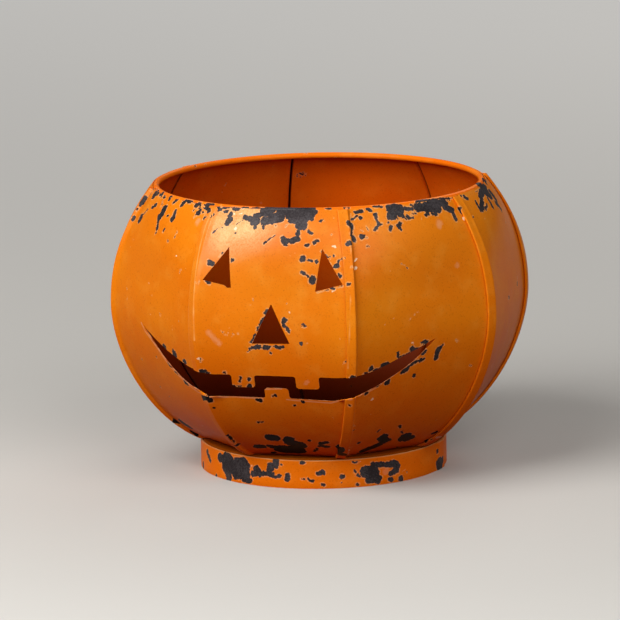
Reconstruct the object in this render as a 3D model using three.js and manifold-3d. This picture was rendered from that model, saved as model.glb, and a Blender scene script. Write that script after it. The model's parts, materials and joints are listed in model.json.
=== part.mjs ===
// Painted sheet-metal jack-o-lantern bowl: eight curved gores locked together by grooved seams,
// a wire ring inside the open rim, an upturned pan as floor and a strap ring as foot.
// Millimetres, +Z up, the face looks toward -Y, the origin is under the middle of the foot.
import * as THREE from 'three';
import { mergeVertices } from 'three/addons/utils/BufferGeometryUtils.js';
import Module from 'manifold-3d';

const wasm = await Module();
wasm.setup();

// Gores, named anticlockwise from the face as seen from above
const gores = [
  'face_panel', 'right_cheek_panel', 'right_side_panel', 'back_right_panel',
  'back_panel', 'back_left_panel', 'left_side_panel', 'left_cheek_panel',
];
const goreTurn = 2 * Math.PI / gores.length;
const halfTurn = goreTurn / 2;

// Sheet and seams
const sheet = 0.4;
const seamPlay = 0.16;
const bandWidth = 6.2;
const seamSetback = 0.35;
const foldStart = 0.2;
const joggleRun = 1.7;
const hookInset = 0.75;
const bandMargin = 1;

// Body
const bodyWidth = 240;
const bellyHeight = 96.5;
const heelInset = 16;
const heelDrop = 1.35;
const heelAngle = 87;
const sidePower = 1.67;
const underPower = 1.76;
const shoulderPower = 2.2;
const panelCrown = 1;
const roundStart = 112;
const roundFull = 160;

// Rim wire
const rimHeight = 163.2;
const wireDiameter = 3.4;
const wireRingRadius = 91.6;
const rimClearance = 0.35;
const wireProud = 1;
const wireButtGap = 0.4;

// Foot strap and floor pan
const footRadius = 70;
const footHeight = 16.2;
const strap = 0.7;
const lapLength = 9;
const joggleLength = 4;
const lapAzimuth = 84.5;
const panSheet = 0.6;
const panProud = 1;
const panShoulder = 1.2;
const panSkirtLift = 4;
const fitPlay = 0.15;
const tabDepth = 7;
const tabInset = 5;

// Cut-outs of the face, across and up, seen from the front
const leftEye = [[-27.2, 141.3], [-39.6, 124.1], [-28.2, 121.6], [-27, 120.3], [-24.4, 120.6]];
const rightEye = [[26.8, 141], [36.9, 123], [22.6, 119.5]];
const nose = [[-1.8, 111.9], [-13.2, 89.9], [8.8, 90.4]];
const mouthLeftTip = [-86.2, 92.8];
const mouthRightTip = [82, 90.2];
const upperLipLeft = [[-69, 82.7], [-60.6, 80.2], [-53.6, 77], [-46, 73.5], [-36, 71.8]];
const upperLipRight = [[32, 71.6], [42, 72.2], [53.5, 75], [64.8, 80.8], [73.5, 86.2]];
const lowerLipLeft = [[-68.5, 75.3], [-55.6, 65.6], [-47.4, 59.9], [-40, 58.4]];
const lowerLipRight = [[30, 57], [41.4, 59.6], [49.7, 63], [58.2, 67.7], [71.4, 77]];
const upperLipLevel = 71.8;
const lowerLipLevel = 57.8;
const upperToothTip = 64.4;
const lowerToothTip = 64;
const upperTeeth = [[-26, -13.4], [10.4, 23]];
const lowerTooth = [-7.9, 5.3];
const lipSteps = 12;

// Facets
const beltsBelow = 8;
const beltsAbove = 8;
const middlePoints = 4;
const bendSteps = 3;
const wireSides = 8;
const ringSteps = 72;

// Sizes worked out from the ones above
const bendRadius = (3 * sheet + 2 * seamPlay) / 2;
const bendInside = bendRadius - sheet;
const hookLevel = sheet + seamPlay;
const coverLevel = 3 * (sheet + seamPlay);
const seamStack = coverLevel + sheet;
const panTop = footHeight + panProud;
const seatHeight = panTop + fitPlay;
const edgeHeight = rimHeight - wireProud;
const bellyApothem = bodyWidth / 2 * Math.cos(halfTurn) - seamStack;
const rimApothem = (wireRingRadius + wireDiameter / 2 + rimClearance) * Math.cos(halfTurn);
const heelApothem = footRadius - heelInset;
const heelHeight = seatHeight - heelDrop;
const overshoot = 1.3;

const smoothstep = (t) => {
  const c = Math.min(Math.max(t, 0), 1);
  return c * c * (3 - 2 * c);
};

// Inner face of a gore's middle line: distance from the axis and height, from heel to rim.
// Below the belly it is a Lame curve, above it a power curve that draws in toward the rim.
function middleLine() {
  const line = [];
  for (let i = 0; i < beltsBelow; i += 1) {
    const angle = THREE.MathUtils.degToRad(heelAngle) * (1 - i / beltsBelow);
    const across = Math.cos(angle) ** (2 / sidePower);
    const down = Math.sin(angle) ** (2 / underPower);
    line.push([
      heelApothem + (bellyApothem - heelApothem) * across,
      bellyHeight - (bellyHeight - heelHeight) * down,
    ]);
  }
  for (let i = 0; i <= beltsAbove; i += 1) {
    const height = bellyHeight + (edgeHeight + overshoot - bellyHeight) * i / beltsAbove;
    const up = (height - bellyHeight) / (edgeHeight - bellyHeight);
    line.push([bellyApothem - (bellyApothem - rimApothem) * up ** shoulderPower, height]);
  }
  return line;
}

// Each belt of the body: its place on the middle line, the outward direction there,
// half the gore's width, and how far the gore is crowned or drawn round toward the rim
const belts = middleLine().map(([apothem, height], i, line) => {
  const [r0, z0] = line[Math.max(i - 1, 0)];
  const [r1, z1] = line[Math.min(i + 1, line.length - 1)];
  const run = Math.hypot(r1 - r0, z1 - z0);
  const round = smoothstep((height - roundStart) / (roundFull - roundStart));
  const rise = Math.sin(Math.PI * Math.min(Math.max((height - seatHeight) / (edgeHeight - seatHeight), 0), 1));
  return {
    apothem,
    height,
    outR: (z1 - z0) / run,
    outZ: (r0 - r1) / run,
    half: apothem * Math.tan(halfTurn),
    round,
    crown: panelCrown * rise * (1 - round),
  };
});

// A point on gore number n: u along the gore's width, v out from its inner face
function gorePoint(belt, n, u, v) {
  const corner = belt.apothem / Math.cos(halfTurn);
  const arc = Math.sqrt(Math.max(corner ** 2 - u ** 2, 0)) - belt.apothem;
  const bulge = belt.round * arc + belt.crown * (1 - (u / belt.half) ** 2);
  const r = belt.apothem + bulge + v * belt.outR;
  const turn = n * goreTurn;
  return [
    r * Math.sin(turn) + u * Math.cos(turn),
    -r * Math.cos(turn) + u * Math.sin(turn),
    belt.height + v * belt.outZ,
  ];
}

// Points on a bend, from one angle to another in degrees, around a centre
function bend(centreU, centreV, radius, from, to, steps) {
  const points = [];
  for (let i = 0; i <= steps; i += 1) {
    const angle = THREE.MathUtils.degToRad(from + (to - from) * i / steps);
    points.push([centreU + radius * Math.cos(angle), centreV + radius * Math.sin(angle)]);
  }
  return points;
}

// Section of gore n at one belt, as one closed outline of the folded sheet.
// Its right edge turns back on itself. Its left edge steps out over the neighbour's hook,
// lies on the neighbour's own plane as the band that shows, and hooks in under it.
function goreSection(belt, n) {
  const own = (u, v) => gorePoint(belt, n, u, v);
  const next = belt.half;
  const neighbour = (x, v) => gorePoint(belt, n - 1, next + x, v);
  const left = -belt.half + joggleRun;
  const right = belt.half - bandWidth - bandMargin;
  const middles = [];
  for (let i = 0; i <= middlePoints; i += 1) {
    middles.push(left + (right - left) * i / middlePoints);
  }
  const rightBend = belt.half - seamSetback - bendRadius;
  const leftBend = -bandWidth + bendRadius;
  const hookEnd = belt.half + leftBend + hookInset;
  const underEnd = -seamSetback - bendRadius - hookInset;
  return [
    ...middles.map((u) => own(u, 0)),
    ...bend(rightBend, bendRadius, bendRadius, -90, 90, bendSteps).map(([u, v]) => own(u, v)),
    own(hookEnd, 2 * bendRadius),
    own(hookEnd, 2 * bendRadius - sheet),
    ...bend(rightBend, bendRadius, bendInside, 90, -90, bendSteps - 1).map(([u, v]) => own(u, v)),
    ...middles.reverse().map((u) => own(u, sheet)),
    neighbour(-foldStart, coverLevel + sheet),
    ...bend(leftBend, hookLevel + bendRadius, bendRadius, 90, 270, bendSteps).map(([x, v]) => neighbour(x, v)),
    neighbour(underEnd, hookLevel),
    neighbour(underEnd, hookLevel + sheet),
    ...bend(leftBend, hookLevel + bendRadius, bendInside, 270, 90, bendSteps - 1).map(([x, v]) => neighbour(x, v)),
    neighbour(-foldStart, coverLevel),
  ];
}

// Manifold solid from a list of points and a list of triangles
function solidFrom(points, triangles) {
  return new wasm.Manifold(new wasm.Mesh({
    numProp: 3,
    vertProperties: new Float32Array(points.flat()),
    triVerts: new Uint32Array(triangles.flat()),
  }));
}

// Closed solid through a stack of sections with the same number of points, capped at both ends.
// The diagonals of all faces lean the same way round the bowl, so folded layers stay parallel.
function loft(sections, capOutline) {
  const count = sections[0].length;
  const triangles = [];
  for (let k = 0; k + 1 < sections.length; k += 1) {
    for (let i = 0; i < count; i += 1) {
      const j = (i + 1) % count;
      const a = k * count + i;
      const b = k * count + j;
      const [ax, ay] = sections[k][i];
      const [bx, by] = sections[k][j];
      if (ax * by - ay * bx > 0) {
        triangles.push([a, b + count, b], [a, a + count, b + count]);
      } else {
        triangles.push([a, a + count, b], [b, a + count, b + count]);
      }
    }
  }
  const last = (sections.length - 1) * count;
  for (const [a, b, c] of THREE.ShapeUtils.triangulateShape(capOutline, [])) {
    triangles.push([a, b, c], [last + a, last + c, last + b]);
  }
  return solidFrom(sections.flat(), triangles);
}

// Manifold solid from a closed three.js geometry
function solidOf(geometry) {
  const bare = geometry.clone();
  bare.deleteAttribute('normal');
  bare.deleteAttribute('uv');
  const merged = mergeVertices(bare, 1e-4);
  return new wasm.Manifold(new wasm.Mesh({
    numProp: 3,
    vertProperties: new Float32Array(merged.attributes.position.array),
    triVerts: new Uint32Array(merged.index.array),
  }));
}

function geometryOf(solid) {
  const mesh = solid.getMesh();
  const geometry = new THREE.BufferGeometry();
  geometry.setAttribute('position', new THREE.BufferAttribute(mesh.vertProperties, 3));
  geometry.setIndex(new THREE.BufferAttribute(mesh.triVerts, 1));
  geometry.computeVertexNormals();
  return geometry;
}

// Prism that reaches from the axis to well in front of the face, for an outline seen from the front
function frontPrism(outline) {
  const shape = new THREE.Shape(outline.map(([x, z]) => new THREE.Vector2(x, z)));
  const geometry = new THREE.ExtrudeGeometry(shape, { depth: bodyWidth, bevelEnabled: false, steps: 1 });
  geometry.rotateX(Math.PI / 2);
  return solidOf(geometry);
}

// Smooth run through hand-set points, from a first point to a last one
function smoothRun(points) {
  const curve = new THREE.SplineCurve(points.map(([x, z]) => new THREE.Vector2(x, z)));
  return curve.getPoints(lipSteps).map((p) => [p.x, p.y]);
}

// Edge of the mouth from its left tip to its right tip, with the teeth stepping out of it
function lip(left, right, level, teeth, toothTip) {
  const steps = teeth.flatMap(([from, to]) => [[from, level], [from, toothTip], [to, toothTip], [to, level]]);
  return [...smoothRun([mouthLeftTip, ...left]), ...steps, ...smoothRun([...right, mouthRightTip])];
}
const upperLip = lip(upperLipLeft, upperLipRight, upperLipLevel, upperTeeth, upperToothTip);
const lowerLip = lip(lowerLipLeft, lowerLipRight, lowerLipLevel, [lowerTooth], lowerToothTip);
const mouth = frontPrism([...upperLip, ...lowerLip.slice(1, -1).reverse()]);

// What lies below the upper lip, and what lies above the lower one
const belowUpperLip = frontPrism([...upperLip, [mouthRightTip[0], 0], [mouthLeftTip[0], 0]]);
const aboveLowerLip = frontPrism([...lowerLip, [mouthRightTip[0], 2 * rimHeight], [mouthLeftTip[0], 2 * rimHeight]]);

// Plain blocks that trim the gores flat at the rim and at their seat on the pan
function trimBlock(from, to) {
  const geometry = new THREE.BoxGeometry(2 * bodyWidth, 2 * bodyWidth, to - from);
  geometry.translate(0, 0, (from + to) / 2);
  return solidOf(geometry);
}
const aboveEdge = trimBlock(edgeHeight, edgeHeight + bodyWidth);
const belowSeat = trimBlock(seatHeight - bodyWidth, seatHeight);

// Half width and inner apothem of a gore where it meets the pan
function seatApothem() {
  for (let i = 1; i < belts.length; i += 1) {
    if (belts[i].height >= seatHeight) {
      const low = belts[i - 1];
      const high = belts[i];
      const share = (seatHeight - low.height) / (high.height - low.height);
      return low.apothem + (high.apothem - low.apothem) * share;
    }
  }
  return belts[0].apothem;
}

// Tab at the foot of a gore, turned in flat on the pan
function seatTab(n) {
  const outer = seatApothem() + sheet / 2;
  const inner = outer - tabDepth;
  const outerHalf = outer * Math.tan(halfTurn) - tabInset;
  const innerHalf = inner * Math.tan(halfTurn) - tabInset;
  const shape = new THREE.Shape([
    new THREE.Vector2(-outerHalf, -outer),
    new THREE.Vector2(outerHalf, -outer),
    new THREE.Vector2(innerHalf, -inner),
    new THREE.Vector2(-innerHalf, -inner),
  ]);
  const geometry = new THREE.ExtrudeGeometry(shape, { depth: sheet, bevelEnabled: false, steps: 1 });
  geometry.translate(0, 0, seatHeight);
  geometry.rotateZ(n * goreTurn);
  return solidOf(geometry);
}

// One gore, locked into its neighbours, trimmed at both ends and with its tab
function goreSolid(n) {
  const sections = belts.map((belt) => goreSection(belt, n));
  const flat = belts[beltsBelow];
  const capOutline = goreSection(flat, 0).map(([x, y]) => new THREE.Vector2(x, -y));
  return loft(sections, capOutline).subtract(aboveEdge).subtract(belowSeat).add(seatTab(n));
}

const paint = new THREE.Color(0xd9771f);
const insidePaint = new THREE.Color(0xb4551a);
const metalFinish = (color) => new THREE.MeshStandardMaterial({ color, roughness: 0.5, metalness: 0.3 });

const bowl = new THREE.Group();
function addPiece(name, geometry, color = paint) {
  const mesh = new THREE.Mesh(geometry, metalFinish(color));
  mesh.name = name;
  bowl.add(mesh);
}

// Gores: the face is cut right across by the mouth, so it is an upper and a lower piece,
// and the mouth runs out into the cheek on each side
gores.forEach((name, n) => {
  const gore = goreSolid(n);
  if (name === 'face_panel') {
    const upper = gore.subtract(belowUpperLip);
    const holes = [leftEye, rightEye, nose].map(frontPrism);
    addPiece('face_panel_upper', geometryOf(holes.reduce((rest, hole) => rest.subtract(hole), upper)));
    addPiece('face_panel_lower', geometryOf(gore.subtract(aboveLowerLip)));
  } else if (name.endsWith('cheek_panel')) {
    addPiece(name, geometryOf(gore.subtract(mouth)));
  } else {
    addPiece(name, geometryOf(gore));
  }
});

// Rim wire: a round wire bent to a ring, its two ends butted at the back
class RingPath extends THREE.Curve {
  getPoint(t, target = new THREE.Vector3()) {
    const gap = wireButtGap / wireRingRadius;
    const angle = Math.PI / 2 + gap / 2 + (2 * Math.PI - gap) * t;
    return target.set(
      wireRingRadius * Math.cos(angle),
      wireRingRadius * Math.sin(angle),
      rimHeight - wireDiameter / 2,
    );
  }
}
const wireSection = new THREE.Shape(bend(0, 0, wireDiameter / 2, 0, 360, wireSides).slice(0, -1)
  .map(([x, y]) => new THREE.Vector2(x, y)));
addPiece('rim_wire', new THREE.ExtrudeGeometry(wireSection, {
  steps: ringSteps,
  extrudePath: new RingPath(),
  bevelEnabled: false,
}));

// Floor pan: a disc with a rounded shoulder and a skirt that slides down inside the foot strap
const skirtOutside = footRadius - strap - fitPlay;
const skirtInside = skirtOutside - panSheet;
const shoulderInside = panShoulder - panSheet;
const panProfile = [
  [0, panTop - panSheet],
  ...bend(skirtOutside - panShoulder, panTop - panShoulder, shoulderInside, 90, 0, bendSteps),
  [skirtInside, panSkirtLift],
  [skirtOutside, panSkirtLift],
  ...bend(skirtOutside - panShoulder, panTop - panShoulder, panShoulder, 0, 90, bendSteps),
  [0, panTop],
];
const panLathe = new THREE.LatheGeometry(panProfile.map(([r, z]) => new THREE.Vector2(r, z)), ringSteps);
panLathe.rotateX(Math.PI / 2);
addPiece('base_pan', geometryOf(solidOf(panLathe)), insidePaint);

// Foot strap: a flat strip bent to a ring on edge, its outer end stepped out over its inner one
function strapOutline() {
  const lapAngle = lapLength / footRadius;
  const joggleAngle = joggleLength / footRadius;
  const start = THREE.MathUtils.degToRad(lapAzimuth - 90) - lapAngle / 2;
  const sweep = 2 * Math.PI + lapAngle;
  const lift = (angle) => (strap + fitPlay) * smoothstep((angle - 2 * Math.PI + joggleAngle) / joggleAngle);
  const stops = [];
  const plain = 2 * Math.PI - joggleAngle;
  for (let i = 0; i <= ringSteps; i += 1) {
    stops.push(plain * i / ringSteps);
  }
  for (let i = 1; i <= bendSteps; i += 1) {
    stops.push(plain + joggleAngle * i / bendSteps);
  }
  stops.push(2 * Math.PI + lapAngle / 2, sweep);
  const side = (radius) => stops.map((angle) => {
    const r = radius + lift(angle);
    return new THREE.Vector2(r * Math.cos(start + angle), r * Math.sin(start + angle));
  });
  return [...side(footRadius), ...side(footRadius - strap).reverse()];
}
addPiece('foot_ring', new THREE.ExtrudeGeometry(new THREE.Shape(strapOutline()), {
  depth: footHeight,
  bevelEnabled: false,
  steps: 1,
}));

export default bowl;
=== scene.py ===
# %% [markdown]
# # A sheet-metal jack-o-lantern bowl
# A tinsmith cuts eight equal gores from thin sheet, bends each one to the side of a pumpkin and
# hooks their edges together in folded lock seams. A round wire stiffens the open rim, an upturned
# pan closes the bottom and a strap bent to a ring is the foot. The whole bowl is painted orange,
# and the paint is knocked off wherever hands, shelves and neighbours have rubbed it.
# This lesson builds each of those pieces the way the tinsmith would, then paints and wears them.

# %% Load the frame
import bpy
import json
from math import atan2, cos, hypot, pi, radians, sin, sqrt, tan
from mathutils import Matrix, Vector
from mathutils.bvhtree import BVHTree

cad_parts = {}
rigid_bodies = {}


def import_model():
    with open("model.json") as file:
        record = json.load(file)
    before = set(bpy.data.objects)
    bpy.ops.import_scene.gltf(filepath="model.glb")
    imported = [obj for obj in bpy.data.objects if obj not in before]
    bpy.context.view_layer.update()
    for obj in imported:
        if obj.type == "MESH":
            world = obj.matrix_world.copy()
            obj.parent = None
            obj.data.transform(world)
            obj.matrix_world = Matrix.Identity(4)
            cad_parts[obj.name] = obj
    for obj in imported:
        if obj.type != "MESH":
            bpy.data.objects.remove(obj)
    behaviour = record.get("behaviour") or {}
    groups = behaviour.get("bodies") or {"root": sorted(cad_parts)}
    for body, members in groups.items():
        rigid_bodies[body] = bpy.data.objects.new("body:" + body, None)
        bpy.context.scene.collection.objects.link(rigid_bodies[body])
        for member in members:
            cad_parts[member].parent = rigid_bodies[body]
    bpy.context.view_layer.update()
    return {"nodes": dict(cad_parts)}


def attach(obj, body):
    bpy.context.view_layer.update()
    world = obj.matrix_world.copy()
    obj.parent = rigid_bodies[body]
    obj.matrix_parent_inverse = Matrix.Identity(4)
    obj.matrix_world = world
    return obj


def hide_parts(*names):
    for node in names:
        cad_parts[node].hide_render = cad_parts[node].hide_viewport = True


for spare in list(bpy.data.objects):
    bpy.data.objects.remove(spare)
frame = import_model()
mm = 0.001
print("frame loaded:", len(frame["nodes"]), "pieces of CAD")

# %% [markdown]
# ## Camera
# The photograph was taken with a long lens from just above the bowl, a little to its right, and
# held very slightly crooked. A long lens flattens the shape, so its distance and focal length
# matter as much as its angle. The camera looks at a point close to the middle of the bowl.

# %% Camera
view_azimuth = radians(13.6)
view_elevation = radians(11.22)
view_roll = radians(1.1)
view_distance = 3.0
focal_length = 307.0
sensor_width = 36.0
middle_height = 85 * mm
aim_left = 6.34 * mm
aim_up = 2.93 * mm


def camera_axes():
    """Right, up and back directions of a level camera at the view's azimuth and elevation."""
    back = Vector((sin(view_azimuth) * cos(view_elevation),
                   -cos(view_azimuth) * cos(view_elevation),
                   sin(view_elevation)))
    right = Vector((cos(view_azimuth), sin(view_azimuth), 0))
    return right, back.cross(right), back


def place_camera():
    """Stands the camera where the photograph was taken from."""
    right, up, back = camera_axes()
    spot = Vector((0, 0, middle_height)) + back * view_distance
    target = Vector((0, 0, middle_height)) - right * aim_left + up * aim_up
    away = (spot - target).normalized()
    level_right = Vector((0, 0, 1)).cross(away).normalized()
    level_up = away.cross(level_right)
    true_right = level_right * cos(view_roll) - level_up * sin(view_roll)
    true_up = level_right * sin(view_roll) + level_up * cos(view_roll)
    data = bpy.data.cameras.new("camera")
    data.lens = focal_length
    data.sensor_width = sensor_width
    data.clip_start = 0.1
    data.clip_end = 50
    camera = bpy.data.objects.new("camera", data)
    turn = Matrix((true_right, true_up, away)).transposed().to_4x4()
    camera.matrix_world = Matrix.Translation(spot) @ turn
    bpy.context.scene.collection.objects.link(camera)
    bpy.context.scene.camera = camera
    return camera


camera = place_camera()
print("camera stands", round(camera.location.length, 3), "m from the foot")

# %% [markdown]
# ## Working by hand, in code
# Every piece is made with the operators a modeller clicks on. An operator acts on what is
# selected, so a few short helpers deselect everything, start a piece from a primitive and pick
# vertices or edges by their place.

# %% Helpers for modelling
def leave_edit_mode():
    """Goes back to object mode, if a piece is still open."""
    if bpy.context.object and bpy.context.object.mode != "OBJECT":
        bpy.ops.object.mode_set(mode="OBJECT")


def start_fresh():
    """Leaves edit mode with no object selected."""
    leave_edit_mode()
    bpy.ops.object.select_all(action="DESELECT")


def take_all():
    """Selects the whole of the mesh that is open."""
    bpy.ops.mesh.select_all(action="SELECT")


def only(obj):
    """Selects this object alone, in object mode."""
    start_fresh()
    obj.select_set(True)
    bpy.context.view_layer.objects.active = obj
    return obj


def edit(obj, mode="VERT"):
    """Opens a piece in edit mode with nothing selected."""
    only(obj)
    bpy.ops.object.mode_set(mode="EDIT")
    bpy.ops.mesh.select_mode(type=mode)
    bpy.ops.mesh.select_all(action="DESELECT")


def pick(obj, wanted):
    """Selects the vertices whose place passes a test, and the edges and faces between them."""
    bpy.ops.mesh.select_all(action="DESELECT")
    leave_edit_mode()
    for vertex in obj.data.vertices:
        vertex.select = wanted(vertex.co)
    chosen = {vertex.index for vertex in obj.data.vertices if vertex.select}
    for edge in obj.data.edges:
        edge.select = all(index in chosen for index in edge.vertices)
    for face in obj.data.polygons:
        face.select = all(index in chosen for index in face.vertices)
    bpy.ops.object.mode_set(mode="EDIT")
    return len(chosen)


def select_nothing(obj):
    """Clears the selection of a mesh from object mode."""
    for part in (obj.data.vertices, obj.data.edges, obj.data.polygons):
        for item in part:
            item.select = False


def new_point(name, place):
    """A piece that starts as one vertex: a small plane merged at its middle."""
    start_fresh()
    bpy.ops.mesh.primitive_plane_add(size=mm, location=place)
    obj = bpy.context.object
    obj.name = name
    obj.data.name = name
    bpy.ops.object.transform_apply(location=True, rotation=True, scale=True)
    bpy.ops.object.mode_set(mode="EDIT")
    bpy.ops.mesh.select_mode(type="VERT")
    take_all()
    bpy.ops.mesh.merge(type="CENTER")
    return obj


def pull(step):
    """Extrudes what is selected by one step and keeps the new end selected."""
    bpy.ops.mesh.extrude_region_move(TRANSFORM_OT_translate={"value": tuple(step)})


def finish_with(obj, kind, **settings):
    """Adds one modifier with its settings and applies it."""
    only(obj)
    modifier = obj.modifiers.new(kind.lower(), kind)
    for key, value in settings.items():
        setattr(modifier, key, value)
    bpy.ops.object.modifier_apply(modifier=modifier.name)


def join(target, *others):
    """Puts other meshes into the first one."""
    only(target)
    for other in others:
        other.select_set(True)
    bpy.ops.object.join()
    return target


def turned_copy(obj, name, angle):
    """A copy with its own mesh, turned about the bowl's axis, with the turn put into the mesh."""
    twin = obj.copy()
    twin.data = obj.data.copy()
    twin.name = name
    twin.data.name = name
    bpy.context.scene.collection.objects.link(twin)
    twin.data.transform(Matrix.Rotation(angle, 4, "Z"))
    return twin


def smooth(obj, angle=35):
    """Shades a piece smooth, but for edges sharper than an angle in degrees."""
    only(obj)
    bpy.ops.object.shade_smooth_by_angle(angle=radians(angle))


# %% [markdown]
# ## Sizes
# Most of these are the sizes of the CAD model, in millimetres. The seam's band is a little narrower
# and steps down more steeply, as it does in the photograph. The gore's middle line runs from the
# heel, over the belly, to the rim, and half the gore's width at any height follows from it, because
# the eight gores close the circle.

# %% Sizes shared by the pieces
gore_count = 8
gore_turn = 2 * pi / gore_count
half_turn = gore_turn / 2
sheet = 0.4
seam_play = 0.16
band_width = 4.4
seam_setback = 0.35
fold_start = -1.0
joggle_run = 1.4
hook_inset = 0.75
body_width = 240
belly_height = 96.5
panel_crown = 0.95
round_start = 112
round_full = 160
rim_height = 163.2
wire_diameter = 3.4
wire_ring_radius = 91.6
rim_clearance = 0.35
wire_proud = 1.0
foot_radius = 70
foot_height = 16.2
pan_proud = 1.0
fit_play = 0.15
heel_inset = 16
heel_drop = 1.35
heel_angle = radians(87)
side_power = 1.67
under_power = 1.76
shoulder_power = 2.2
overshoot = 1.3
rows_below = 30
rows_above = 30

bend_middle = sheet + seam_play
stack = 4 * sheet + 3 * seam_play
pan_top = foot_height + pan_proud
seat_height = pan_top + fit_play
edge_height = rim_height - wire_proud
belly_apothem = body_width / 2 * cos(half_turn) - stack
rim_apothem = (wire_ring_radius + wire_diameter / 2 + rim_clearance) * cos(half_turn)
heel_apothem = foot_radius - heel_inset
heel_height = seat_height - heel_drop


def middle_line():
    """Points (distance from the axis, height) of a gore's inner face, from heel to rim."""
    line = []
    for i in range(rows_below):
        angle = heel_angle * (1 - i / rows_below)
        across = cos(angle) ** (2 / side_power)
        down = sin(angle) ** (2 / under_power)
        line.append((heel_apothem + (belly_apothem - heel_apothem) * across,
                     belly_height - (belly_height - heel_height) * down))
    top = edge_height + overshoot
    for i in range(rows_above + 1):
        height = belly_height + (top - belly_height) * i / rows_above
        up = (height - belly_height) / (edge_height - belly_height)
        line.append((belly_apothem - (belly_apothem - rim_apothem) * up ** shoulder_power, height))
    return line


gore_line = middle_line()
print("gore line has", len(gore_line), "points")


def apothem_at(height):
    """Distance of the gore's middle line from the axis at a height, both in millimetres."""
    for (r0, z0), (r1, z1) in zip(gore_line, gore_line[1:]):
        if z0 <= height <= z1:
            return r0 + (r1 - r0) * (height - z0) / (z1 - z0)
    return gore_line[0][0] if height < gore_line[0][1] else gore_line[-1][0]


def smoothstep(t):
    """Goes from 0 to 1 as t does, with a soft start and end."""
    c = min(max(t, 0), 1)
    return c * c * (3 - 2 * c)


def bulge(across, height):
    """How far a gore swells out between its corners: a slight crown, and fully round at the rim."""
    apothem = apothem_at(height)
    half = apothem * tan(half_turn)
    corner = apothem / cos(half_turn)
    roundness = smoothstep((height - round_start) / (round_full - round_start))
    climb = min(max((height - seat_height) / (edge_height - seat_height), 0), 1)
    arc = sqrt(max(corner ** 2 - across ** 2, 0)) - apothem
    crown = panel_crown * sin(pi * climb) * (1 - roundness) * (1 - (across / half) ** 2)
    return roundness * arc + crown


# %% [markdown]
# ## A strip drawn up the side
# All the sheet in a gore is strips that run from heel to rim: the wide middle, the narrow hem on
# its right edge and the two layers of the band on its left. Each starts as a short row of
# vertices at the heel. The row is extruded to the next point of the middle line and stretched to
# the width it has there, again and again, as a sheet is drawn over a stake.

# %% Strip from heel to rim
middle_columns, hem_columns, cover_columns, hook_columns = 22, 3, 4, 3
hem_short = 0.4
hook_short = 1.55
right_fold = (1, -seam_setback - sheet / 2)
left_fold = (1, sheet / 2 - band_width)
hem_edge = (1, bend_middle - band_width + hook_inset + hem_short)


def draw_strip(name, left, right, columns):
    """Strip of a gore between two edges. Each edge is a pair: 1 or -1 for the corner that it
    keeps to, and its distance from that corner in millimetres. The gore faces -Y."""
    def edges(apothem):
        half = apothem * tan(half_turn)
        return left[0] * half + left[1], right[0] * half + right[1]

    r, z = gore_line[0]
    x0, x1 = edges(r)
    obj = new_point(name, (x0 * mm, -r * mm, z * mm))
    for _ in range(columns):
        pull(((x1 - x0) / columns * mm, 0, 0))
    take_all()
    for r_next, z_next in gore_line[1:]:
        y0, y1 = edges(r_next)
        pull(((y0 - x0) * mm, (r - r_next) * mm, (z_next - z) * mm))
        stretch = (y1 - y0) / (x1 - x0)
        if abs(stretch - 1) > 1e-6:
            bpy.ops.transform.resize(value=(stretch, 1, 1), center_override=(y0 * mm, 0, 0))
        r, z, x0, x1 = r_next, z_next, y0, y1
    leave_edit_mode()
    face_out(obj)
    return obj


def face_out(obj):
    """Makes a sheet's normals agree, with its first face looking away from the bowl's axis."""
    edit(obj)
    take_all()
    bpy.ops.mesh.normals_make_consistent(inside=False)
    leave_edit_mode()
    first = obj.data.polygons[0]
    if first.normal.x * first.center.x + first.normal.y * first.center.y < 0:
        edit(obj)
        take_all()
        bpy.ops.mesh.flip_normals()
        leave_edit_mode()


def lift(obj, distance):
    """Moves a whole strip out along its own normals, in millimetres."""
    edit(obj)
    take_all()
    bpy.ops.transform.shrink_fatten(value=distance * mm)
    leave_edit_mode()


middle_strip = draw_strip("gore", (-1, joggle_run), right_fold, middle_columns)
lift(middle_strip, sheet / 2)
hem_strip = draw_strip("hem", hem_edge, right_fold, hem_columns)
lift(hem_strip, sheet / 2 + 2 * bend_middle)
cover_strip = draw_strip("cover", left_fold, (1, -fold_start), cover_columns)
lift(cover_strip, sheet / 2 + 3 * bend_middle)
hook_strip = draw_strip("hook", left_fold, (1, -seam_setback - hook_short), hook_columns)
lift(hook_strip, sheet / 2 + bend_middle)
strips = (middle_strip, hem_strip, cover_strip, hook_strip)
print("strips drawn:", [len(strip.data.vertices) for strip in strips])

# %% [markdown]
# ## Pressed round toward the rim
# A gore is nearly flat across at the belly and follows the round wire at the rim. A Displace
# modifier pushes each strip out by a vertex group that holds how far it has to go.

# %% Press the strips round
press_reach = 8.0


def press_round(obj):
    """Swells one strip by the gore's bulge."""
    group = obj.vertex_groups.new(name="press")
    for vertex in obj.data.vertices:
        swell = bulge(vertex.co.x / mm, vertex.co.z / mm)
        group.add([vertex.index], min(max(swell / press_reach, 0), 1), "REPLACE")
    finish_with(obj, "DISPLACE", direction="Y", strength=-press_reach * mm, mid_level=0,
                vertex_group="press")
    obj.vertex_groups.clear()


for strip in strips:
    press_round(strip)
print("strips pressed round over", rim_height - round_start, "mm below the rim")

# %% [markdown]
# ## Folding the edges
# The middle and its hem are joined and bridged along the right edge, which gives a square return,
# and a bevel rounds the return into the fold that the tinsmith's bar makes. The band and its hook
# are folded the same way on their left edge. They are made in the neighbour's plane, so they are
# turned an eighth of a circle before a last bridge, the joggle, carries the sheet across.

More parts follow.
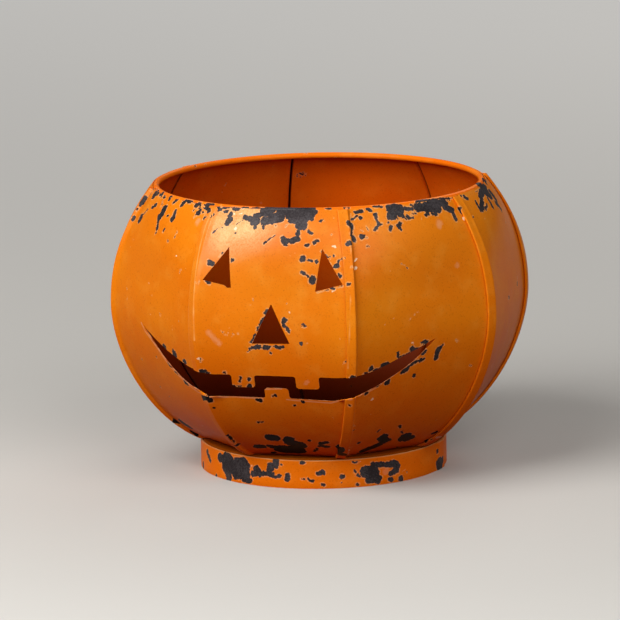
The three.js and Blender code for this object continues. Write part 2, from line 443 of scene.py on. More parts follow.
# %% Fold and join the gore
def bridge_edges(obj, first, second):
    """Bridges two open edges, each given by a test on places."""
    edit(obj, "EDGE")
    pick(obj, lambda co: first(co) or second(co))
    bpy.ops.mesh.bridge_edge_loops()
    leave_edit_mode()


def boundary_column(obj, side):
    """Places of the leftmost or rightmost vertex of each row of a strip, made row by row."""
    places = [vertex.co.copy().freeze() for vertex in obj.data.vertices]
    wide = len(places) // len(gore_line)
    outermost = max if side > 0 else min
    return [outermost(places[start:start + wide], key=lambda co: co.x)
            for start in range(0, len(places), wide)]


def at_places(places):
    """A test that tells whether a place is one of these."""
    known = {tuple(round(value, 6) for value in place) for place in places}
    return lambda co: tuple(round(value, 6) for value in co) in known


middle_right = boundary_column(middle_strip, 1)
middle_left = boundary_column(middle_strip, -1)
hem_right = boundary_column(hem_strip, 1)
cover_left = boundary_column(cover_strip, -1)
cover_right = boundary_column(cover_strip, 1)
hook_left = boundary_column(hook_strip, -1)
fold_share = 0.98
fold_segments = 4


def fold(target, other, edge_a, edge_b):
    """Joins two layers, bridges them along one edge and rounds the return."""
    join(target, other)
    bridge_edges(target, at_places(edge_a), at_places(edge_b))
    face_out(target)
    edit(target, "EDGE")
    pick_edge_lines(target, edge_a, edge_b)
    bpy.ops.mesh.bevel(offset=bend_middle * fold_share * mm, segments=fold_segments, affect="EDGES",
                       clamp_overlap=False)
    leave_edit_mode()


def pick_edge_lines(obj, *lines):
    """Selects only the edges that run along the given lines of places."""
    leave_edit_mode()
    tests = [at_places(line) for line in lines]
    select_nothing(obj)
    for edge in obj.data.edges:
        ends = [obj.data.vertices[i].co for i in edge.vertices]
        edge.select = any(all(test(co) for co in ends) for test in tests)
    bpy.ops.object.mode_set(mode="EDIT")


fold(middle_strip, hem_strip, middle_right, hem_right)
fold(cover_strip, hook_strip, cover_left, hook_left)
turn_back = Matrix.Rotation(-gore_turn, 4, "Z")
cover_strip.data.transform(turn_back)
cover_edge = [turn_back @ place for place in cover_right]
gore = join(middle_strip, cover_strip)
bridge_edges(gore, at_places(middle_left), at_places(cover_edge))
face_out(gore)
print("gore sheet:", len(gore.data.vertices), "vertices")

# %% [markdown]
# ## Trimming and the turned-in tab
# The rim edge and the foot edge are cut level while the gore is still a thin surface. Its foot
# edge is then extruded inward: that is the tab that lies on the floor pan. The joggle's two
# creases get a small bevel, because sheet never folds dead sharp.

# %% Trim the gore and turn in its tab
tab_depth = 7
tab_inset = 5
tab_height = seat_height + sheet / 2
crease_round = 0.4
merge_gap = 0.08
level_gap = 0.001


def trim(obj, height, keep_below):
    """Cuts a sheet level at a height and keeps what is below or above."""
    edit(obj)
    take_all()
    bpy.ops.mesh.bisect(plane_co=(0, 0, height * mm), plane_no=(0, 0, 1),
                        clear_outer=keep_below, clear_inner=not keep_below)
    leave_edit_mode()


edit(gore, "EDGE")
pick_edge_lines(gore, middle_left, cover_edge)
bpy.ops.mesh.bevel(offset=crease_round * mm, segments=2, affect="EDGES", clamp_overlap=False)
leave_edit_mode()
trim(gore, edge_height, keep_below=True)
trim(gore, tab_height, keep_below=False)
edit(gore)
take_all()
bpy.ops.mesh.remove_doubles(threshold=merge_gap * mm)
leave_edit_mode()
foot_edge = [v.co for v in gore.data.vertices if abs(v.co.z - tab_height * mm) < level_gap * mm]
tab_outer = -min(co.y for co in foot_edge if abs(co.x) < 10 * mm) / mm
tab_half = tab_outer * tan(half_turn) - tab_inset
edit(gore, "EDGE")
pick(gore, lambda co: abs(co.z - tab_height * mm) < level_gap * mm and abs(co.x) < tab_half * mm
     and abs(co.y + tab_outer * mm) < 0.5 * mm)
pull((0, tab_depth * mm, 0))
taper = 1 - tab_depth * tan(half_turn) / tab_half
bpy.ops.transform.resize(value=(taper, 1, 1), center_override=(0, 0, 0))
leave_edit_mode()
print("tab starts", round(tab_outer, 2), "mm from the axis and is", round(2 * tab_half, 1), "mm wide")

# %% [markdown]
# ## Eight gores
# The gore is modelled once. Each copy has its own mesh, turned by an eighth of a circle, so that
# its folded edges hook into the next copy's. At the left of the face the front gore was beaten out
# level with its seam, so that its sheet runs on from the band without a step.

# %% Eight gores round the bowl
gore_names = ["face_panel", "right_cheek_panel", "right_side_panel", "back_right_panel",
              "back_panel", "back_left_panel", "left_side_panel", "left_cheek_panel"]
wobble = bpy.data.textures.new("wobble", "CLOUDS")
wobble.noise_scale = 34 * mm
wobble.noise_depth = 1
wobble_reach = 0.7
seam_margin = 9
foot_margin = 24
foot_fade = 20
rim_margin = 6
rim_fade = 14
flush_reach = 13
flush_lift = 1.5
flush_fade = 25
rim_flush_start = 130
rim_flush_fade = 30
crease_reach = 0.6


def away_from_edges(place):
    """0 at a gore's seams, foot and rim and 1 in its middle, for a place on the unturned gore."""
    height = place.z / mm
    side = apothem_at(height) * tan(half_turn) - seam_margin - abs(place.x / mm)
    return (smoothstep(side / seam_margin) * smoothstep((height - foot_margin) / foot_fade)
            * smoothstep((edge_height - rim_margin - height) / rim_fade))


def hand_wobble(obj):
    """The faint unevenness that hammering leaves in a sheet's middle, none along its seams."""
    obj.modifiers["wobble"].texture = wobble
    only(obj)
    bpy.ops.object.modifier_apply(modifier="wobble")
    obj.vertex_groups.clear()


quiet = gore.vertex_groups.new(name="quiet")
for vertex in gore.data.vertices:
    quiet.add([vertex.index], away_from_edges(vertex.co), "REPLACE")
displace = gore.modifiers.new("wobble", "DISPLACE")
displace.vertex_group = "quiet"
displace.strength = wobble_reach * mm
gores = {name: turned_copy(gore, name, n * gore_turn) for n, name in enumerate(gore_names)}
bpy.data.objects.remove(gore)
for sheet_piece in gores.values():
    hand_wobble(sheet_piece)


def flush_share(place):
    """How far a place near the front gore's left seam is beaten out, from 0 to 1."""
    height = place.z / mm
    from_joggle = place.x / mm + apothem_at(height) * tan(half_turn) - joggle_run
    across = 1 - smoothstep(from_joggle / flush_reach)
    if from_joggle < 0:
        across = max(1 + from_joggle / (joggle_run + crease_reach), 0)
    less_at_rim = 1 - 0.6 * smoothstep((height - rim_flush_start) / rim_flush_fade)
    return across * less_at_rim * smoothstep((height - seat_height) / flush_fade)


front = gores["face_panel"]
beaten = front.vertex_groups.new(name="beaten")
for vertex in front.data.vertices:
    beaten.add([vertex.index], flush_share(vertex.co), "REPLACE")
finish_with(front, "DISPLACE", direction="Y", strength=-flush_lift * mm, mid_level=0,
            vertex_group="beaten")
front.vertex_groups.clear()
uncut = [turned_copy(obj, "uncut_" + name, 0) for name, obj in gores.items()]
print("gores:", ", ".join(gores))

# %% [markdown]
# ## The face
# The face is cut as a tinsmith would, through the sheet: an outline is drawn in front of the bowl,
# pushed back through it as a prism and intersected with the thin surface. What lies inside the
# outline is deleted. The corners of the mouth's notches are rounded while the outline is flat.

# %% Outlines of the face
left_eye = [(-26.2, 143.1), (-41.1, 124.5), (-28.2, 121.6), (-27, 120.3), (-24.4, 120.6)]
right_eye = [(25.9, 143.3), (38.4, 123.7), (22.6, 119.5)]
nose = [(-1.8, 113.1), (-13.2, 89.9), (8.8, 90.4)]
mouth_left_tip = (-87.3, 92.4)
mouth_right_tip = (82.6, 89)
upper_lip_left = [(-80, 87.1), (-69, 80.6), (-60.6, 76.9), (-52.5, 74), (-45, 72.9), (-36, 71.8)]
upper_lip_right = [(32, 71.6), (42, 72.2), (53.5, 75), (64.8, 80.3), (73.6, 84.4)]
lower_lip_left = [(-76.6, 80.4), (-70.2, 73.5), (-63.3, 67.4), (-55.6, 62.2), (-46.6, 59.7), (-40, 58)]
lower_lip_right = [(30, 57), (41.4, 59.6), (49.7, 63), (58.2, 67.7), (71.4, 77)]
upper_lip_level = 71.8
lower_lip_level = 57.8
upper_tooth_tip = 64.4
lower_tooth_tip = 64
upper_teeth = [(-26, -13.4), (10.4, 23)]
lower_tooth = (-7.9, 5.3)
notch_round = 1.6
lip_steps = 14


def smooth_run(points):
    """Even steps on a curve through given points, each piece bent by its neighbours."""
    run = []
    pieces = len(points) - 1
    for i in range(lip_steps):
        t = i / lip_steps * pieces
        k = min(int(t), pieces - 1)
        t -= k
        four = [Vector(points[min(max(j, 0), pieces)]) for j in (k - 1, k, k + 1, k + 2)]
        a = (four[2] - four[0]) / 2
        b = (four[3] - four[1]) / 2
        place = (four[1] + a * t + (3 * (four[2] - four[1]) - 2 * a - b) * t ** 2
                 + (2 * (four[1] - four[2]) + a + b) * t ** 3)
        run.append((place.x, place.y))
    return run + [points[-1]]


def lip(left, right, level, teeth, tip):
    """A lip from the mouth's left tip to its right tip, with its square teeth."""
    steps = [corner for a, b in teeth for corner in ((a, level), (a, tip), (b, tip), (b, level))]
    return smooth_run([mouth_left_tip] + left) + steps + smooth_run(right + [mouth_right_tip])


upper_lip = lip(upper_lip_left, upper_lip_right, upper_lip_level, upper_teeth, upper_tooth_tip)
lower_lip = lip(lower_lip_left, lower_lip_right, lower_lip_level, [lower_tooth], lower_tooth_tip)
mouth = upper_lip + lower_lip[-2:0:-1]
print("mouth outline has", len(mouth), "points")

# %% [markdown]
# ## Cutting and turning the edge in
# The boolean leaves the prism's walls and the pieces of sheet inside the outline. Both are found by
# asking of each face whether its middle lies on the outline or inside it, and are deleted. The
# open edge that is left is extruded inward a little, as a file and a thumb would turn it.

# %% Cut the sheet along an outline
cut_near = -130
cut_deep = 112
edge_turn = 0.35
wall_gap = 0.004
lip_merge = 0.12
tip_clear = 5
line_gap = 0.2
tooth_gap = 0.05
crease_clear = 0.6
band_clear = 1
mouth_tips = (mouth_left_tip, mouth_right_tip)
tooth_sides = [x for pair in upper_teeth + [lower_tooth] for x in pair]
outer_slot, inner_slot, edge_slot = 0, 1, 2


def walk_round(obj):
    """Places of a closed line's vertices, in order round it."""
    links = {}
    for edge in obj.data.edges:
        a, b = edge.vertices
        links.setdefault(a, []).append(b)
        links.setdefault(b, []).append(a)
    order = [0, links[0][0]]
    while len(order) < len(links):
        order.append(next(n for n in links[order[-1]] if n != order[-2]))
    places = [obj.data.vertices[i].co / mm for i in order]
    return [(place.x, place.z) for place in places]


def draw_cutter(outline, rounding, rounded):
    """Prism through the front of the bowl, and its outline once its corners are rounded."""
    x0, z0 = outline[0]
    obj = new_point("cutter", (x0 * mm, cut_near * mm, z0 * mm))
    for x, z in outline[1:] + outline[:1]:
        pull(((x - x0) * mm, 0, (z - z0) * mm))
        x0, z0 = x, z
    take_all()
    bpy.ops.mesh.remove_doubles(threshold=0.01 * mm)
    pick(obj, lambda co: rounded(co.x / mm, co.z / mm))
    bpy.ops.mesh.bevel(offset=rounding * mm, segments=3, affect="VERTICES")
    leave_edit_mode()
    ring = walk_round(obj)
    bpy.ops.object.mode_set(mode="EDIT")
    take_all()
    pull((0, cut_deep * mm, 0))
    leave_edit_mode()
    return obj, ring


def gap_to(ring, x, z):
    """Distance from a place, seen from the front, to the nearest side of an outline."""
    best = 1e9
    for (x0, z0), (x1, z1) in zip(ring, ring[1:] + ring[:1]):
        run, climb = x1 - x0, z1 - z0
        t = min(max(((x - x0) * run + (z - z0) * climb) / (run * run + climb * climb), 0), 1)
        best = min(best, hypot(x - x0 - t * run, z - z0 - t * climb))
    return best


def inside(ring, x, z):
    """True where a place, seen from the front, lies inside an outline."""
    hit = False
    for (x0, z0), (x1, z1) in zip(ring, ring[1:] + ring[:1]):
        if (z0 > z) != (z1 > z) and x < x0 + (x1 - x0) * (z - z0) / (z1 - z0):
            hit = not hit
    return hit


def cut_through(obj, turn, outline, rounding=0.3, rounded=lambda x, z: True):
    """Cuts one outline through a gore's sheet and turns the cut edge in a little."""
    cutter, ring = draw_cutter(outline, rounding, rounded)
    kept = len(obj.data.polygons)
    join(obj, cutter)
    select_nothing(obj)
    for face in obj.data.polygons[kept:]:
        face.select = True
    bpy.ops.object.mode_set(mode="EDIT")
    bpy.ops.mesh.select_mode(type="FACE")
    bpy.ops.mesh.intersect(mode="SELECT_UNSELECT", separate_mode="CUT", solver="EXACT")
    bpy.ops.mesh.select_all(action="DESELECT")
    leave_edit_mode()
    obj.data.calc_loop_triangles()
    widest = {}
    for tri in obj.data.loop_triangles:
        if tri.area > widest.get(tri.polygon_index, (0, None))[0]:
            widest[tri.polygon_index] = (tri.area, tri)
    for index, (_, tri) in widest.items():
        middle = sum((obj.data.vertices[i].co for i in tri.vertices), Vector()) / 3 / mm
        wall = gap_to(ring, middle.x, middle.z) < wall_gap
        obj.data.polygons[index].select = wall or inside(ring, middle.x, middle.z)
    bpy.ops.object.mode_set(mode="EDIT")
    bpy.ops.mesh.delete(type="FACE")
    bpy.ops.mesh.select_mode(type="EDGE")
    bpy.ops.mesh.select_non_manifold(extend=False, use_wire=False, use_boundary=True,
                                     use_multi_face=False, use_non_contiguous=False,
                                     use_verts=False)
    bpy.ops.mesh.remove_doubles(threshold=lip_merge * mm)
    leave_edit_mode()
    return turn_edge_in(obj, turn, ring)


def turn_edge_in(obj, turn, ring):
    """Extrudes the cut edge a little way in, where the sheet is a single layer and the outline
    has room for it, which it hasn't close to the mouth's tips."""
    back = Matrix.Rotation(-turn, 3, "Z")
    uses = {}
    for face in obj.data.polygons:
        for key in face.edge_keys:
            uses[key] = uses.get(key, 0) + 1

    def chosen(edge):
        if uses.get(edge.key) != 1:
            return False
        for index in edge.vertices:
            place = obj.data.vertices[index].co / mm
            local = back @ place
            half = apothem_at(place.z) * tan(half_turn)
            single = joggle_run + crease_clear - half < local.x < half - band_width - band_clear
            if not single or gap_to(ring, place.x, place.z) > line_gap:
                return False
            if any(Vector((place.x - x, place.z - z)).length < tip_clear for x, z in mouth_tips):
                return False
        return True

    for edge in obj.data.edges:
        edge.select = chosen(edge)
    count = sum(edge.select for edge in obj.data.edges)
    bpy.ops.object.mode_set(mode="EDIT")
    bpy.ops.mesh.select_mode(type="EDGE")
    pull(Vector((-sin(turn), cos(turn), 0)) * edge_turn * mm)
    leave_edit_mode()
    new_edges = {edge.key for edge in obj.data.edges if edge.select}
    for face in obj.data.polygons:
        if new_edges.intersection(face.edge_keys):
            face.material_index = edge_slot
    return count


def at_tooth(x, z):
    """True at the corners of the teeth, which alone are rounded."""
    return any(abs(x - side) < tooth_gap for side in tooth_sides)


face_sheet = gores["face_panel"]
for outline in (left_eye, right_eye, nose):
    print("cut edges turned in:", cut_through(face_sheet, 0, outline))
mouth_gores = {"face_panel": 0, "right_cheek_panel": gore_turn, "left_cheek_panel": -gore_turn}
for name, turn in mouth_gores.items():
    print("mouth through", name, cut_through(gores[name], turn, mouth, notch_round, at_tooth))

# %% [markdown]
# ## From surface to sheet
# A Solidify modifier gives every gore its thickness, half to each side. There are three slots for
# paint: the outside, the inside, which the modifier fills, and the turned-in edges of the face. The
# sheet's thin edges take the outer paint. The mouth has parted the front gore in two, so its halves
# are separated into the upper and the lower face panel.

# %% Thickness
def finish_piece(obj, name):
    """Gives a finished piece its name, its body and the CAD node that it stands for."""
    obj.name = name + "_formed"
    obj.data.name = obj.name
    smooth(obj)
    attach(obj, "root")
    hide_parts(name)
    return obj


for obj in gores.values():
    face_out(obj)
    for _ in range(3):
        obj.data.materials.append(None)
    finish_with(obj, "SOLIDIFY", thickness=sheet * mm, offset=0, use_even_offset=True,
                material_offset=inner_slot, material_offset_rim=outer_slot)

before = set(bpy.data.objects)
edit(face_sheet)
take_all()
bpy.ops.mesh.separate(type="LOOSE")
leave_edit_mode()
halves = [face_sheet] + [obj for obj in bpy.data.objects if obj not in before]
halves.sort(key=lambda obj: max(v.co.z for v in obj.data.vertices))
print("face panel halves:", [len(obj.data.vertices) for obj in halves])
del gores["face_panel"]
panels = {"face_panel_lower": halves[0], "face_panel_upper": halves[-1], **gores}
for name, obj in panels.items():
    finish_piece(obj, name)

# %% [markdown]
# ## Rim wire
# A round wire stiffens the rim. Its section is a small circle, spun round the bowl's axis almost
# all the way; the two ends butt at the back, where they are filled. The ring sits a quarter of a
# millimetre wider than the CAD's, snug against the sheet, so no dark line shows between the two.

# %% Rim wire
wire_sides = 20
wire_steps = 180
wire_butt_gap = 0.1
wire_seat = 0.25

start_fresh()
butt = wire_butt_gap / wire_ring_radius / 2
wire_middle = ((wire_ring_radius + wire_seat) * mm, 0, (rim_height - wire_diameter / 2) * mm)
bpy.ops.mesh.primitive_circle_add(vertices=wire_sides, radius=wire_diameter / 2 * mm,
                                  fill_type="NOTHING", location=wire_middle, rotation=(pi / 2, 0, 0))
rim = bpy.context.object
bpy.ops.object.transform_apply(location=True, rotation=True, scale=True)
rim.data.transform(Matrix.Rotation(pi / 2 + butt, 4, "Z"))
bpy.ops.object.mode_set(mode="EDIT")
bpy.ops.mesh.select_mode(type="VERT")
take_all()
bpy.ops.mesh.spin(steps=wire_steps, angle=2 * pi - 2 * butt, center=(0, 0, 0), axis=(0, 0, -1))
for side in (1, -1):
    pick(rim, lambda co: co.y > 0 and abs(atan2(-co.x, co.y) - side * butt) < butt / 10)
    bpy.ops.mesh.fill()
take_all()
bpy.ops.mesh.normals_make_consistent(inside=False)
leave_edit_mode()
finish_piece(rim, "rim_wire")
print("rim wire:", len(rim.data.polygons), "faces")

# %% [markdown]
# ## Floor pan
# The pan's profile is drawn from the middle of the floor, over a rounded shoulder and down its
# skirt, then spun a full turn and given the thickness of its sheet.

# %% Floor pan
pan_sheet = 0.6
pan_shoulder = 1.2
pan_skirt_lift = 4
strap = 0.7
pan_steps = 144
floor_rings = 6
bend_steps = 5

skirt_radius = foot_radius - strap - fit_play - pan_sheet / 2
bend_radius = pan_shoulder - pan_sheet / 2
shoulder_radius = skirt_radius - bend_radius
floor_level = pan_top - pan_sheet / 2
pan = new_point("pan", (0, 0, floor_level * mm))
for _ in range(floor_rings):
    pull((shoulder_radius / floor_rings * mm, 0, 0))
for i in range(bend_steps):
    a, b = pi / 2 * i / bend_steps, pi / 2 * (i + 1) / bend_steps
    pull((bend_radius * (sin(b) - sin(a)) * mm, 0, bend_radius * (cos(b) - cos(a)) * mm))
pull((0, 0, (pan_skirt_lift - floor_level + bend_radius) * mm))
take_all()
bpy.ops.mesh.spin(steps=pan_steps, angle=2 * pi, center=(0, 0, 0), axis=(0, 0, 1))
take_all()
bpy.ops.mesh.remove_doubles(threshold=0.01 * mm)
bpy.ops.mesh.normals_make_consistent(inside=False)
leave_edit_mode()
finish_with(pan, "SOLIDIFY", thickness=pan_sheet * mm, offset=0, use_even_offset=True)
finish_piece(pan, "base_pan")
print("floor pan:", len(pan.data.polygons), "faces")

# %% [markdown]
# ## Foot ring
# A flat strap stands on edge and is bent to a ring. Its upright end is drawn along the ring in
# short steps, and over the last of them it steps out by the strap's thickness and laps its start.

# %% Foot ring
lap_length = 9
joggle_length = 4
lap_azimuth = radians(84.5)
ring_steps = 144
lap_steps = 6
strap_rows = 5
strap_edge_round = 0.15

lap_angle = lap_length / foot_radius
joggle_angle = joggle_length / foot_radius
strap_start = lap_azimuth - pi / 2 - lap_angle / 2


def strap_place(angle):
    """Place on the strap's middle, in millimetres, at an angle run along it from its start."""
    step_out = smoothstep((angle - 2 * pi + joggle_angle) / joggle_angle)
    r = foot_radius - strap / 2 + (strap + fit_play) * step_out
    return Vector((r * cos(strap_start + angle), r * sin(strap_start + angle), 0))


plain_turn = 2 * pi - joggle_angle
stops = [plain_turn * i / ring_steps for i in range(ring_steps + 1)]
stops += [plain_turn + joggle_angle * i / lap_steps for i in range(1, lap_steps + 1)]
stops += [2 * pi + lap_angle * i / lap_steps for i in range(1, lap_steps + 1)]
foot = new_point("foot", strap_place(0) * mm)
for _ in range(strap_rows):
    pull((0, 0, foot_height / strap_rows * mm))
take_all()
for here, there in zip(stops, stops[1:]):
    pull((strap_place(there) - strap_place(here)) * mm)
take_all()
bpy.ops.mesh.normals_make_consistent(inside=False)
leave_edit_mode()
face_out(foot)
finish_with(foot, "SOLIDIFY", thickness=strap * mm, offset=0, use_even_offset=True)
finish_with(foot, "BEVEL", width=strap_edge_round * mm, segments=2, limit_method="ANGLE",
            angle_limit=radians(50))
finish_piece(foot, "foot_ring")
print("foot ring:", len(foot.data.polygons), "faces")

# %% [markdown]
# ## Where the paint is chipped
# The chips are placed where the photograph shows them. Each is a short stroke: the place of its
# middle in the photograph, half its length, half its width and its tilt. A ray through the camera
# carries each end of the stroke to the bowl's surface, so the chip sits on the sheet itself and
# stays there from any side. The rays are cast at a bowl without its cut-outs, so that a chip on the
# lip of a cut-out finds the surface too.

# %% Rays through the photograph
frame_width = 620
widest_spread = 1.6
whole = join(uncut[0], *uncut[1:])
foot_copy = turned_copy(foot, "uncut_foot", 0)
wire_copy = turned_copy(rim, "uncut_rim", 0)
join(whole, foot_copy, wire_copy)
bowl_surface = BVHTree.FromObject(whole, bpy.context.evaluated_depsgraph_get())
bpy.data.objects.remove(whole)


def touch(across, down):
    """Place on the bowl, in metres, under a point of the photograph."""
    tangent = sensor_width / 2 / focal_length
    aim = Vector(((across / frame_width * 2 - 1) * tangent, (1 - down / frame_width * 2) * tangent, -1))
    aim = (camera.matrix_world.to_3x3() @ aim).normalized()
    place, _, _, _ = bowl_surface.ray_cast(camera.location, aim)
    return place


def stroke(across, down, long, wide, tilt):
    """Both ends and the radius of a chip on the bowl, in metres."""
    along = (cos(radians(tilt)), -sin(radians(tilt)))
    reach = max(long - wide, 0)
    ends = [touch(across + k * reach * along[0], down + k * reach * along[1]) for k in (-1, 1)]
    sides = [touch(across - k * wide * along[1], down + k * wide * along[0]) for k in (-1, 1)]
    if None in ends or None in sides:
        return None
    radius = min((sides[0] - sides[1]).length / 2, wide * widest_spread * mm)
    return ends[0], ends[1], radius


print("front of the bowl lies at", [round(v / mm, 1) for v in touch(280, 300)], "mm")

# %% [markdown]
# ## Marks measured in the photograph
# Each row is one stroke: across, down, half length, half width and tilt in degrees. The first
# four are counted in the photograph's own steps, of which there are 620 from side to side. The
# lists go round the bowl from the left cheek to the foot and the rim. Lines are given as the
# places they pass through.

# %% Chips, as measured in the photograph
left_cheek_chips = [
    (152.5, 192.5, 5, 0.5, 52), (155.2, 194.8, 2.6, 1.6, 70), (144.1, 200.7, 4, 2.3, 50),
    (138.4, 208, 4.5, 0.9, 55), (134.2, 218.7, 3, 2.2, 10), (140.7, 218.7, 2.2, 1.5, 60),
    (145, 213, 5, 0.4, 47), (154.5, 206, 3.2, 1, 35), (161.7, 193.8, 2, 1.1, 40),
    (164.4, 197.6, 1.6, 1, -55), (170.5, 198, 2.3, 0.9, 60), (175.5, 201.5, 2.8, 1.3, 40),
    (183.1, 203.7, 3, 1.8, 50), (188.9, 201.1, 4, 1.1, -8), (197.7, 204.9, 3.6, 1.9, 35),
    (194.2, 210.2, 1.5, 0.6, 50), (209.2, 204.9, 5, 1.6, -3), (208, 209.1, 3.2, 1.6, -50),
    (164, 210.2, 3.3, 2.1, 70), (161, 215.6, 3.6, 2.2, 55), (158.3, 224, 6, 1.1, 80),
    (156.4, 232.4, 2.2, 0.5, 60), (167.9, 215.6, 1.3, 0.9, 0), (174.7, 214.1, 4, 1.5, 75),
    (172.8, 218.7, 2.2, 2, 60), (164.2, 229.8, 2.2, 0.6, 55), (175.5, 235.1, 3.4, 0.6, 62),
    (168.2, 241.2, 1.2, 0.8, 90), (205, 217.9, 1.7, 0.6, 55), (211.5, 216.4, 1.5, 0.5, 75),
    (213.8, 214.5, 1.2, 0.8, 60),
]
brow_chips = [
    (220.2, 209.4, 2.6, 1.8, 0), (228.7, 221.4, 4.5, 3, 50), (230, 215.2, 3.5, 2.2, 60),
    (226, 211.5, 3, 1.6, 0), (236.3, 209.8, 4.5, 1.6, 0), (239.8, 221.9, 4, 0.4, 35),
    (215.7, 230.8, 3.6, 0.9, 45), (235.8, 233.5, 1.5, 1.3, 0), (247.9, 218.3, 6, 2.6, -20),
    (255, 221.4, 5, 4.6, 0), (255, 226.8, 2.6, 1.9, 90), (263, 214.3, 10, 2.6, 15),
    (267.5, 220.5, 7, 4.6, 10), (263.5, 227.7, 2.6, 1.5, 90), (276.4, 217.9, 9, 5.2, 15),
    (274.6, 210.7, 14, 1.8, 0), (285.4, 211.6, 6, 3, 0), (298.8, 216.1, 12, 7.6, 0),
    (311.3, 215.2, 7, 4.4, 80), (301.4, 225.9, 6, 4, 0), (307.7, 211.6, 9, 3, 0),
    (297.9, 233, 4.5, 2.3, 90), (294.3, 240.2, 6, 3.2, 20), (285.4, 241, 4.5, 3.6, 0),
    (282.7, 237.5, 2, 1.5, 0), (285.4, 244.6, 2.5, 1.8, 0), (286.3, 226.3, 2, 0.8, 60),
    (275.5, 226.3, 1.4, 0.8, 40), (269.3, 240.2, 7.5, 0.8, 38), (309.9, 232.6, 4, 1.4, -30),
    (321, 221, 2, 1.3, 45), (306.8, 245.1, 3.2, 1.8, 20), (315.7, 241.5, 4, 1.8, 28),
]
eye_chips = [
    (302.8, 259.4, 3.8, 3.7, 0), (309.5, 260.7, 4, 1.1, -8), (316.6, 262, 2, 1.8, 90),
    (303.2, 272.8, 3.2, 2.1, -40), (306.8, 275.9, 3, 1.3, -40), (312.6, 279.5, 5, 3.4, 80),
    (336.3, 266, 4, 2.4, 30), (338.9, 261.6, 3, 1.2, 60), (343.4, 258, 2.4, 1.2, 25),
    (339.8, 275.9, 3, 1.9, -50), (333.6, 256.3, 1.2, 1.1, 0), (331.3, 234.4, 0.9, 0.8, 0),
    (332.7, 288.4, 2.8, 1.5, -20), (330, 289.3, 13, 0.5, 14), (210.8, 263.4, 4.5, 2.8, -20),
    (221.1, 254.5, 3.6, 0.9, 50), (232.7, 259.8, 2, 1.7, 0), (208.1, 282.1, 3, 1.7, -25),
    (290.3, 255.4, 0.6, 0.6, 0), (322, 251.3, 1.5, 1.2, 0), (328.2, 260.7, 5, 0.5, -60),
    (348.3, 283.8, 2, 1.8, 0),
]
nose_chips = [
    (266.2, 311.8, 3.5, 1.8, 60), (263.2, 318.5, 3, 1, 60), (258.9, 325.8, 4, 0.7, 60),
    (254.7, 335.5, 3, 0.8, 55), (251.7, 342, 1.8, 1.4, 0), (284.4, 320.3, 3.4, 2.8, 0),
    (283.2, 324.5, 4, 1.4, -65), (287.7, 330, 3.3, 2.1, -35), (256.5, 346.4, 5.5, 1.6, 12),
    (249.2, 350.6, 2.6, 0.8, 40), (266.8, 347, 4, 2, 0), (279.5, 347.3, 4.5, 1.5, 5),
    (303.8, 325.5, 2.7, 1.6, 0), (301.1, 343.3, 1.8, 1.5, 90), (286.8, 303.6, 0.9, 0.9, 0),
    (238.3, 334.2, 1, 0.9, 0), (307.4, 343, 0.6, 0.6, 0), (259.5, 326, 17.7, 1, 63),
    (266.5, 347.2, 17, 1, 4),
]
seam_chips = [
    (354.5, 217.7, 4, 1.4, 40), (359.9, 218.3, 2.2, 1.6, -50), (350.2, 225.3, 3.8, 2.1, -60),
    (352.3, 228, 2, 1.3, 0), (351.2, 232.3, 4, 0.9, 85), (353.1, 238.8, 3.6, 2.2, -70),
    (349.1, 243.2, 3.2, 2.3, 20), (362.1, 237, 3.4, 2.5, 0), (365.9, 238.3, 2, 0.9, 10),
    (367.2, 228, 2.8, 0.7, -60), (361.3, 230.4, 0.9, 0.8, 0), (351.8, 267, 1, 1, 0),
]
right_rim_chips = [
    (358.5, 211.9, 5, 1.6, 12), (360.4, 217.6, 2.2, 1.7, -60), (354, 217.6, 3, 0.9, 60),
    (368.7, 210, 3, 1.4, -30), (375.7, 217, 4.5, 1.9, -75), (377.6, 224.6, 4, 2, 80),
    (380.8, 224, 2, 1.2, 20), (376, 229.7, 3, 1.8, 60), (378.3, 207.1, 5, 1.4, 2),
    (390.4, 208.1, 4.5, 4, 0), (390.4, 215.7, 5, 4, 80), (398.7, 208.1, 4.5, 3.5, 0),
    (400, 213.2, 4, 3.8, 0), (404.4, 217.6, 3.4, 1.2, -35), (410.8, 218.3, 3.5, 1, 15),
    (408.2, 208.7, 5, 2.4, 5), (390.7, 228.5, 3, 2.1, 80), (399.6, 223.4, 2.6, 1.7, 60),
    (399.3, 227.8, 4, 1.3, -50), (419.7, 207.4, 6, 4, 0), (429.3, 207.4, 8, 5.3, 5),
    (427.4, 214.4, 2.5, 2, 0), (435.7, 208.1, 6, 5, 0), (434.4, 214.4, 3.5, 1.6, 0),
    (432.5, 201, 6, 1.5, 10), (441, 203.1, 7, 4, 10), (448, 208.7, 6, 3, -20),
    (453.7, 216.4, 6, 1.7, -65), (426.3, 215, 2.2, 1.6, 90), (460.4, 210.8, 4.2, 1.8, -70),
    (465.6, 197.8, 2.8, 1.4, -30),
]
far_right_chips = [
    (483.5, 189, 4.5, 3.2, -60), (481, 194.6, 5, 2, 80), (481.8, 205.2, 5, 1.8, 85),
    (477.5, 205.2, 5, 0.8, -65), (487.4, 192.5, 5, 2, -55), (493, 196, 6, 1.5, -55),
    (486, 207.3, 3, 0.9, 70), (490.2, 203, 5, 0.9, -60), (497.9, 205.9, 5, 1, -50),
    (473, 217.5, 1, 0.9, 0),
]
